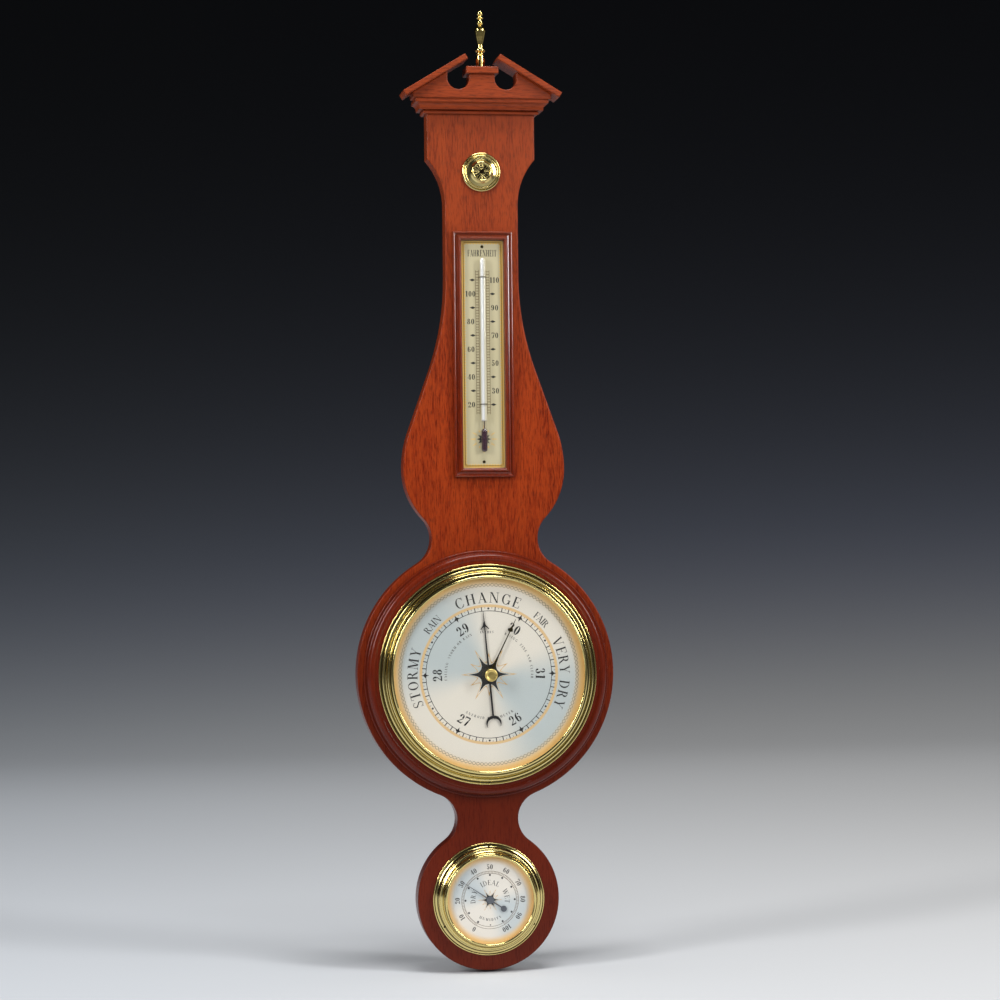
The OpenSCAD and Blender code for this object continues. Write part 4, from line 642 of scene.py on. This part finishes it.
class Tree:
    """A Geometry Nodes tree with named inputs."""

    def __init__(self, name, inputs):
        self.group = bpy.data.node_groups.new(name, "GeometryNodeTree")
        for label, kind in inputs:
            self.group.interface.new_socket(label, in_out="INPUT", socket_type=kind)
        self.group.interface.new_socket("Geometry", in_out="OUTPUT", socket_type="NodeSocketGeometry")
        self.inputs = self.group.nodes.new("NodeGroupInput")
        self.out = self.group.nodes.new("NodeGroupOutput")

    def value(self, label):
        return self.inputs.outputs[label]

    def add(self, kind, settings=None, links=(), output=0):
        node = self.group.nodes.new(kind)
        for key, value in (settings or {}).items():
            setattr(node, key, value)
        for label, value in links:
            socket = node.inputs[label]
            if isinstance(value, bpy.types.NodeSocket):
                self.group.links.new(value, socket)
            else:
                socket.default_value = value
        return node.outputs[output]

    def maths(self, operation, a, b=0.0):
        return self.add("ShaderNodeMath", {"operation": operation}, ((0, a), (1, b)))

    def close(self, geometry, material):
        solid = self.add("GeometryNodeRealizeInstances", {}, ((0, geometry),))
        done = self.add("GeometryNodeSetMaterial", {}, ((0, solid), ("Material", material)))
        self.group.links.new(done, self.out.inputs[0])

    def grow(self, name, material, slot, body="case", **values):
        mesh = bpy.data.meshes.new(name + " seed")
        host = bpy.data.objects.new(name + " seed", mesh)
        bpy.context.scene.collection.objects.link(host)
        modifier = host.modifiers.new("marks", "NODES")
        modifier.node_group = self.group
        for item in self.group.interface.items_tree:
            if item.in_out == "INPUT" and item.name in values:
                modifier[item.identifier] = values[item.name]
            if item.in_out == "INPUT" and item.name == "Material":
                modifier[item.identifier] = material
        bpy.context.view_layer.update()
        graph = bpy.context.evaluated_depsgraph_get()
        grown = bpy.data.meshes.new_from_object(host.evaluated_get(graph))
        bpy.data.objects.remove(host)
        grown.name = name
        piece = bpy.data.objects.new(name, grown)
        bpy.context.scene.collection.objects.link(piece)
        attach(piece, body)
        return piece


def radial_tree():
    """Bars, each pointing to the centre, at equal steps round an axis along Y."""
    tree = Tree("marks round a circle", (
        ("Count", "NodeSocketInt"), ("First", "NodeSocketFloat"), ("Step", "NodeSocketFloat"),
        ("Radius", "NodeSocketFloat"), ("Width", "NodeSocketFloat"), ("Length", "NodeSocketFloat"),
        ("Thick", "NodeSocketFloat"), ("Every", "NodeSocketFloat"), ("Above", "NodeSocketFloat"),
        ("Centre", "NodeSocketVector"), ("Material", "NodeSocketMaterial")))
    index = tree.add("GeometryNodeInputIndex")
    angle = tree.maths("ADD", tree.maths("MULTIPLY", index, tree.value("Step")), tree.value("First"))
    flat = tree.add("ShaderNodeCombineXYZ", {}, (
        (0, tree.maths("MULTIPLY", tree.maths("SINE", angle), tree.value("Radius"))),
        (2, tree.maths("MULTIPLY", tree.maths("COSINE", angle), tree.value("Radius")))))
    place = tree.add("ShaderNodeVectorMath", {"operation": "ADD"}, ((0, flat), (1, tree.value("Centre"))))
    points = tree.add("GeometryNodePoints", {}, (("Count", tree.value("Count")), ("Position", place)))
    bar = tree.add("GeometryNodeMeshCube", {}, (("Size", tree.add("ShaderNodeCombineXYZ", {}, (
        (0, tree.value("Width")), (1, tree.value("Thick")), (2, tree.value("Length"))))),))
    turn = tree.add("FunctionNodeEulerToRotation", {}, (
        ("Euler", tree.add("ShaderNodeCombineXYZ", {}, ((1, angle),))),))
    kept = tree.maths("GREATER_THAN", tree.maths("MODULO", index, tree.value("Every")), tree.value("Above"))
    spread = tree.add("GeometryNodeInstanceOnPoints", {}, (
        ("Points", points), ("Selection", kept), ("Instance", bar), ("Rotation", turn)))
    tree.close(spread, tree.value("Material"))
    return tree


def row_tree():
    """Level bars one above another."""
    tree = Tree("marks in a row", (
        ("Count", "NodeSocketInt"), ("Step", "NodeSocketFloat"), ("Width", "NodeSocketFloat"),
        ("Height", "NodeSocketFloat"), ("Thick", "NodeSocketFloat"), ("Start", "NodeSocketVector"),
        ("Material", "NodeSocketMaterial")))
    index = tree.add("GeometryNodeInputIndex")
    rise = tree.add("ShaderNodeCombineXYZ", {}, ((2, tree.maths("MULTIPLY", index, tree.value("Step"))),))
    place = tree.add("ShaderNodeVectorMath", {"operation": "ADD"}, ((0, rise), (1, tree.value("Start"))))
    points = tree.add("GeometryNodePoints", {}, (("Count", tree.value("Count")), ("Position", place)))
    bar = tree.add("GeometryNodeMeshCube", {}, (("Size", tree.add("ShaderNodeCombineXYZ", {}, (
        (0, tree.value("Width")), (1, tree.value("Thick")), (2, tree.value("Height"))))),))
    spread = tree.add("GeometryNodeInstanceOnPoints", {}, (("Points", points), ("Instance", bar)))
    tree.close(spread, tree.value("Material"))
    return tree


# ---------------------------------------------------------------- the finishes on the CAD nodes

WOOD_UPRIGHT = mahogany("mahogany, upright grain", "z", 1)
WOOD_LEVEL = mahogany("mahogany, level grain", "x", 2)
WOOD_RING = mahogany("mahogany, turned ring", "z", 3, light=(0.19, 0.020, 0.0035), mid=(0.125, 0.0105, 0.0020),
                     coat=0.18, arris=0.0006, gloss=0.22)
WOOD_FRAME = mahogany("mahogany, frame", "z", 4, light=(0.20, 0.021, 0.0040), mid=(0.12, 0.0105, 0.0022),
                      coat=0.8, arris=0.0004, gloss=0.14)
DARK_PINS = spun_metal("darkened brass", (0.045, 0.033, 0.012), 0.34)
BRASS = bright_brass("polished brass")
# grooves: bands of radii that get painted shade
BEZEL_BRASS = turned_brass("spun brass, main bezel", DIAL_Z, grooves=((98.9, 100.3), (95.7, 96.2), (91.5, 92.5)))
ROSETTE_BRASS = turned_brass("spun brass, rosette", sum(c.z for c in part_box("rosette")) / 2, flower=6.6)
KNOB_BRASS = bright_brass("satin brass knob", rough=0.28)
HYGRO_BRASS = turned_brass("spun brass, small bezel", HYGRO_Z, grooves=((50.2, 50.9), (47.5, 48.6), (42.6, 43.2)))
INNER_BRASS = spun_metal("turned brass", (0.70, 0.52, 0.24), 0.26)
CAPSULE = spun_metal("tinned sheet", (0.66, 0.60, 0.46), 0.24)
STEEL = spun_metal("spring steel", (0.36, 0.38, 0.42), 0.28)
BLACK = black_lacquer()
BLUED = spun_metal("blued steel", (0.11, 0.12, 0.14), 0.30, metallic=0.3)
SET_BRASS = spun_metal("dark brass hand", (0.075, 0.058, 0.022), 0.30)
PANE = window_glass()
TUBE = tube_glass()
SPIRIT = dark_spirit()
PLATE = champagne()
# warm and cool tones of the painted reflection, then the radii of the painted gold reflection at the rim
MAIN_DIAL = silvered("silvered dial", DIAL_Z, (0.74, 0.69, 0.59), (0.47, 0.52, 0.51), 79.0, 88.0, 61.9, 64.5)
SMALL_DIAL = silvered("silvered small dial", HYGRO_Z, (0.79, 0.74, 0.66), (0.54, 0.59, 0.60), 33.0, 39.5)
BLACK_INK = ink("black ink", (0.018, 0.017, 0.016))
GREY_INK = ink("grey ink", (0.10, 0.095, 0.085))
GOLD_INK = ink("gold ink", (0.66, 0.40, 0.13), 0.2, 0.35)
PALE_GOLD = ink("pale gold border", (0.80, 0.50, 0.12), 0.1, 0.35)
SILVER_INK = ink("grey-gold line", (0.26, 0.23, 0.15), 0.1, 0.4)
BROWN_INK = ink("brown ink", (0.13, 0.075, 0.03))

DRESS = {
    WOOD_UPRIGHT: "case_board",
    WOOD_LEVEL: "tympanum plinth_cap cornice_moulding cornice_bead left_rake right_rake",
    WOOD_RING: "dial_ring",
    WOOD_FRAME: "thermometer_frame_left thermometer_frame_right thermometer_frame_top thermometer_frame_bottom",
    BRASS: "finial",
    ROSETTE_BRASS: "rosette",
    KNOB_BRASS: "set_knob",
    DARK_PINS: "bezel_pins hygrometer_pins scale_pins tube_staples",
    INNER_BRASS: "glass_spacer barometer_cup movement_plate adjusting_screw movement_pillars bridge_plate"
                 " rocker_brackets sector_gear pinion_arbor front_plate front_posts set_spindle spindle_bush"
                 " hygrometer_spacer hygrometer_cup hygrometer_bridge hanger_plate hanger_screws",
    CAPSULE: "aneroid_capsule",
    STEEL: "capsule_tongue capsule_lever rocker_shaft hairspring humidity_coil hygrometer_arbor",
    MAIN_DIAL: "barometer_dial",
    SMALL_DIAL: "hygrometer_dial",
    PLATE: "thermometer_scale",
    PANE: "barometer_glass hygrometer_glass",
    TUBE: "thermometer_tube",
    SPIRIT: "thermometer_fluid",
    BLACK: "indicating_hand",
    BLUED: "hygrometer_hand",
    SET_BRASS: "set_hand",
}


def dress_nodes():
    for material, names in DRESS.items():
        for name in names.split():
            for slot in nodes[name].material_slots:
                slot.material = material


# ---------------------------------------------------------------- spun bezels

def lathe(name, profile, centre_z, material, steps=256):
    """Profile of (radius, distance from the wall) in millimetres, turned about a dial's axis."""
    area = sum(a[0] * b[1] - b[0] * a[1] for a, b in zip(profile, profile[1:] + profile[:1]))
    if area < 0:
        profile = profile[::-1]
    count = len(profile)
    points, faces = [], []
    for i in range(steps):
        a = TAU * i / steps
        points += [(r * MM * math.sin(a), -level * MM, centre_z + r * MM * math.cos(a)) for r, level in profile]
        j = (i + 1) % steps
        faces += [(i * count + k, i * count + (k + 1) % count, j * count + (k + 1) % count, j * count + k)
                  for k in range(count)]
    mesh = bpy.data.meshes.new(name)
    mesh.from_pydata(points, [], faces)
    mesh.polygons.foreach_set("use_smooth", [True] * len(faces))
    mesh.set_sharp_from_angle(angle=math.radians(50))
    mesh.materials.append(material)
    piece = bpy.data.objects.new(name, mesh)
    bpy.context.scene.collection.objects.link(piece)
    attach(piece, "case")
    return piece


def spun_bezels():
    """Round rim, flat, bead, hollow slope, ridge, groove and lip, from the outside in."""
    main = [(91.4, 30.0), (92.5, 30.0), (92.5, 35.6), (93.2, 35.6), (93.9, 33.8), (95.5, 32.2), (96.9, 30.2),
            (96.9, 30.0), (101.9, 30.0)] + arc_points(101.1, 30.8, 0.8, 0.8, 0, 150, 10) \
        + arc_points(97.3, 32.1, 1.6, 1.6, -34.2, 127.4, 16) + [(95.3, 34.4), (94.95, 35.15), (94.7, 36.0)] \
        + arc_points(93.2, 37.4, 1.25, 1.25, 0, 118.7, 14) + [(92.6, 40.7), (92.1, 40.7), (92.1, 41.1), (91.4, 41.1)] \
        + [(91.4, 41.8)] + arc_points(90.1, 41.0, 1.3, 1.3, 38, 180, 16) + [(88.8, 40.62), (91.4, 40.62)]
    small = [(42.2, 19.0), (43.2, 19.0), (43.2, 23.0), (44.6, 23.0), (44.6, 19.0), (52.2, 19.0)] \
        + arc_points(51.4, 19.9, 0.8, 0.8, 0, 157, 10) + arc_points(52.6, 26.6, 6.6, 6.6, 252.4, 202.1, 14) \
        + arc_points(46.3, 25.2, 1.1, 1.1, -80.3, 112.6, 16) + [(45.1, 26.73), (44.4, 27.2), (44.1, 28.25)] \
        + arc_points(42.7, 29.9, 1.0, 1.0, -10.8, 60, 10) + [(43.2, 32.2), (42.7, 32.2), (42.7, 32.5)] \
        + arc_points(41.4, 32.4, 1.2, 1.2, 4.8, 165.5, 16) + [(42.2, 32.7)]
    for name, profile, centre_z, material in (("barometer_bezel", main, DIAL_Z, BEZEL_BRASS),
                                              ("hygrometer_bezel", small, HYGRO_Z, HYGRO_BRASS)):
        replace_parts(lathe(name + "_spun", profile, centre_z, material), name)


# ---------------------------------------------------------------- printed dials

def clock(angle, radius):
    """Point at an angle clockwise from the top."""
    a = math.radians(angle)
    return radius * math.sin(a), radius * math.cos(a)


def face_of(node):
    """Distance of a node's front from the wall, in millimetres."""
    return -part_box(node)[0].y / MM


def compass(black, gold, size, turn):
    """Six black points with hollow sides, and a longer star in gold outline behind them."""
    points = []
    for i in range(6):
        a = turn + 60 * i
        points += [clock(a + s, size * r) for s, r in ((-20, 0.485), (-11, 0.54), (-5, 0.67), (0, 1.0), (5, 0.67),
                                                       (11, 0.54), (20, 0.485), (30, 0.46))]
    black.prism(points)

    def outline(tip, side, valley):
        line = []
        for i in range(6):
            a = turn + 60 * i
            line += [clock(a, size * tip), clock(a + 7, size * (valley + 0.16)), clock(a + 15, size * valley),
                     clock(a + 23, size * (valley + 0.10)), clock(a + 30, size * side),
                     clock(a + 37, size * (valley + 0.10)), clock(a + 45, size * valley),
                     clock(a + 53, size * (valley + 0.16))]
        return line

    gold.band(outline(1.40, 1.08, 0.60), outline(1.22, 0.93, 0.55), True)


def wavy_line(sheet, radius, height, waves, width, phase):
    steps = waves * 12
    outer, inner = [], []
    for i in range(steps):
        a = TAU * i / steps
        r = radius + height * math.sin(waves * a + phase)
        outer.append(((r + width / 2) * math.cos(a), (r + width / 2) * math.sin(a)))
        inner.append(((r - width / 2) * math.cos(a), (r - width / 2) * math.sin(a)))
    sheet.band(outer, inner, True)


def main_dial(marks):
    face = face_of("barometer_dial")
    centre = (0, -(face + INK / 2) * MM, DIAL_Z)
    first = 150
    black = Print(DIAL_Z, face)
    black.ring(58.6, 0.55)
    for value in range(26, 32):
        angle = first + (value - 26) * 60
        points = [clock(angle, 59.4 + 3.6), clock(angle + 0.8, 60.4), clock(angle + 2.4, 59.3),
                  clock(angle + 0.8, 58.3), clock(angle, 59.4 - 3.8), clock(angle - 0.8, 58.3),
                  clock(angle - 2.4, 59.3), clock(angle - 0.8, 60.4)]
        black.prism(points)
        black.arc_word(str(value), 8.7, 52.2 if value < 28 else 43.8, angle, inward=value < 28, gap=0.05)
    for half in range(6):
        black.dot(*clock(first + (half + 0.5) * 60, 60.8), 0.95)
    black.finish("barometer_numerals", BLACK_INK, "black_hand")
    marks.grow("barometer_tenths", BLACK_INK, "black_hand", Count=60, First=math.radians(first),
               Step=math.radians(6), Radius=60.5 * MM, Width=0.8 * MM, Length=3.9 * MM, Thick=INK * MM,
               Every=5.0, Above=0.5, Centre=centre)
    marks.grow("barometer_twentieths", GREY_INK, "black_hand", Count=60, First=math.radians(first + 3),
               Step=math.radians(6), Radius=61.4 * MM, Width=0.4 * MM, Length=1.4 * MM, Thick=INK * MM,
               Every=5.0, Above=-1.0, Centre=centre)

    words = Print(DIAL_Z, face)
    words.arc_word("STORMY", 9.4, 66.4, 268.1, sweep=45, weight=0.85, wide=1.08)
    words.arc_word("RAIN", 6.8, 66.8, 311.8, sweep=15.6, weight=0.85)
    words.arc_word("CHANGE", 9.6, 66.2, 359.5, sweep=50.5, weight=0.85, wide=1.1)
    words.arc_word("FAIR", 6.6, 66.9, 44.9, sweep=13.2, weight=0.85)
    words.arc_word("VERY DRY", 9.4, 66.4, 89.6, sweep=54, weight=0.85, wide=1.04)
    words.finish("barometer_words", BLACK_INK, "black_hand")

    small = Print(DIAL_Z, face)
    small.arc_word("FALLING  STORM OR RAIN", 2.3, 39.2, 300, sweep=74, weight=1.3)
    small.arc_word("RISING  FINE AND CLEAR", 2.3, 39.2, 59, sweep=74, weight=1.3)
    small.arc_word("ANEROID BAROMETER", 2.3, 41.4, 180, sweep=66, inward=True, weight=1.3)
    small.line_word("INCHES", 2.1, -1.6, 38.0, span=12.5, weight=1.3)
    small.finish("barometer_small_words", GREY_INK, "black_hand")

    line = Print(DIAL_Z, face)
    wavy_line(line, 82.6, 1.35, 69, 0.5, 0)
    wavy_line(line, 82.6, 1.35, 69, 0.5, math.pi)
    line.finish("barometer_wavy_border", SILVER_INK, "polished_brass")

    star = Print(DIAL_Z, face + 0.01)
    rays = Print(DIAL_Z, face)
    compass(star, rays, 18.8, 90)
    star.finish("barometer_star", BLACK_INK, "black_hand")
    rays.finish("barometer_star_rays", GOLD_INK, "polished_brass")


def small_dial(marks):
    face = face_of("hygrometer_dial")
    centre = (0, -(face + INK / 2) * MM, HYGRO_Z)
    black = Print(HYGRO_Z, face)
    for step in range(11):
        angle = -150 + 30 * step
        black.arc_word(str(10 * step), 4.5, 28.3, angle, gap=0.05)
        black.dot(*clock(angle, 23.0), 0.95)
    black.dot(*clock(180, 23.0), 0.6)
    black.arc_word("IDEAL", 4.6, 13.8, 0, gap=0.16, weight=0.8)
    black.arc_word("DRY", 4.6, 13.8, -78, gap=0.16, weight=0.8)
    black.arc_word("WET", 4.6, 13.8, 78, gap=0.16, weight=0.8)
    black.arc_word("HUMIDITY", 2.4, 19.4, 180, sweep=66, inward=True, weight=1.2)
    black.finish("hygrometer_numerals", BLACK_INK, "black_hand")
    circles = Print(HYGRO_Z, face)
    circles.ring(24.5, 0.32, 120)
    circles.ring(26.6, 0.32, 120)
    circles.finish("hygrometer_circles", BROWN_INK, "black_hand")
    marks.grow("hygrometer_marks", BROWN_INK, "black_hand", Count=101, First=math.radians(-150),
               Step=math.radians(3), Radius=25.55 * MM, Width=0.28 * MM, Length=1.8 * MM, Thick=INK * MM,
               Every=5.0, Above=-1.0, Centre=centre)
    star = Print(HYGRO_Z, face + 0.01)
    rays = Print(HYGRO_Z, face)
    compass(star, rays, 8.2, 90)
    star.finish("hygrometer_star", BLACK_INK, "black_hand")
    rays.finish("hygrometer_star_rays", GOLD_INK, "polished_brass")


def thermometer_print(rows):
    """Two ladders beside the tube, tens on alternate sides, gold border and a star under the bulb."""
    face = face_of("thermometer_scale")
    low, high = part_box("thermometer_scale")
    width, height = (high.x - low.x) / MM, (high.z - low.z) / MM
    degree = 1.287
    twenty = 249.7 + (DIAL_Z - SCALE_Z) / MM
    star_y = 217.6 + (DIAL_Z - SCALE_Z) / MM
    black, brown = Print(SCALE_Z, face), Print(SCALE_Z, face)
    for side in (-1, 1):
        for x in (3.5, 6.4):
            brown.prism([(side * x - 0.17, twenty - 7 * degree), (side * x + 0.17, twenty - 7 * degree),
                         (side * x + 0.17, twenty + 97 * degree), (side * x - 0.17, twenty + 97 * degree)])
        rows.grow("thermometer_ladder_" + ("left" if side < 0 else "right"), BROWN_INK, "black_hand", Count=52,
                  Step=2 * degree * MM, Width=2.6 * MM, Height=0.42 * MM, Thick=INK * MM,
                  Start=(side * 4.95 * MM, -(face + INK / 2) * MM, SCALE_Z + (twenty - 6 * degree) * MM))
    brown.finish("thermometer_ladder_rails", BROWN_INK, "black_hand")
    for ten in range(20, 120, 10):
        y = twenty + (ten - 20) * degree
        side = -1 if ten % 20 == 0 else 1
        black.line_word(str(ten), 5.1, side * 11.3, y - 2.55, gap=0.06)
        x = -side * 9.4
        black.prism([(x - 2.7, y), (x - 0.4, y - 1.1), (x + 0.4, y - 1.1), (x + 2.7, y), (x + 0.4, y + 1.1),
                     (x - 0.4, y + 1.1)])
    black.line_word("FAHRENHEIT", 6.0, 0, height / 2 - 14.6, span=27.2, wide=0.54, weight=1.2)
    points = []
    for i in range(10):
        a = 90 + 36 * i
        points += [clock(a, 6.8), clock(a + 9, 4.6), clock(a + 18, 3.9), clock(a + 27, 4.6)]
    black.prism([(x, y + star_y) for x, y in points])
    black.finish("thermometer_numerals", BLACK_INK, "black_hand")

    gold = Print(SCALE_Z, face)
    for i in range(12):
        outer = (13.6, 9.8, 12.6)[min(i % 6, 6 - i % 6) % 3]
        ray = [clock(30 * i - 7, 7.6), clock(30 * i, outer), clock(30 * i + 7, 7.6)]
        within = [clock(30 * i - 3.5, 7.6), clock(30 * i, outer - 1.6), clock(30 * i + 3.5, 7.6)]
        gold.band([(x, y + star_y) for x, y in ray], [(x, y + star_y) for x, y in within])
    band = 2.0
    x, y = width / 2 - 0.3, height / 2 - 0.3
    corners = [(-x, -y), (x, -y), (x, y), (-x, y)]
    within = [(-x + band, -y + band), (x - band, -y + band), (x - band, y - band), (-x + band, y - band)]
    gold.band(corners, within, True)
    pitch = 2.6
    tall, wide = int((2 * y - 2 * band) / pitch), int((2 * x - 2 * band) / pitch)
    for side in (-1, 1):
        for k in range(tall):
            gold.dot(side * (x - band), -y + band + (2 * y - 2 * band) * (k + 0.5) / tall, 1.1, 10)
        for k in range(wide):
            gold.dot(-x + band + (2 * x - 2 * band) * (k + 0.5) / wide, side * (y - band), 1.1, 10)
    gold.finish("thermometer_border", PALE_GOLD, "polished_brass")


aim_camera()
stage_and_lights()
dress_nodes()
spun_bezels()
MARKS, ROWS = radial_tree(), row_tree()
main_dial(MARKS)
small_dial(MARKS)
thermometer_print(ROWS)
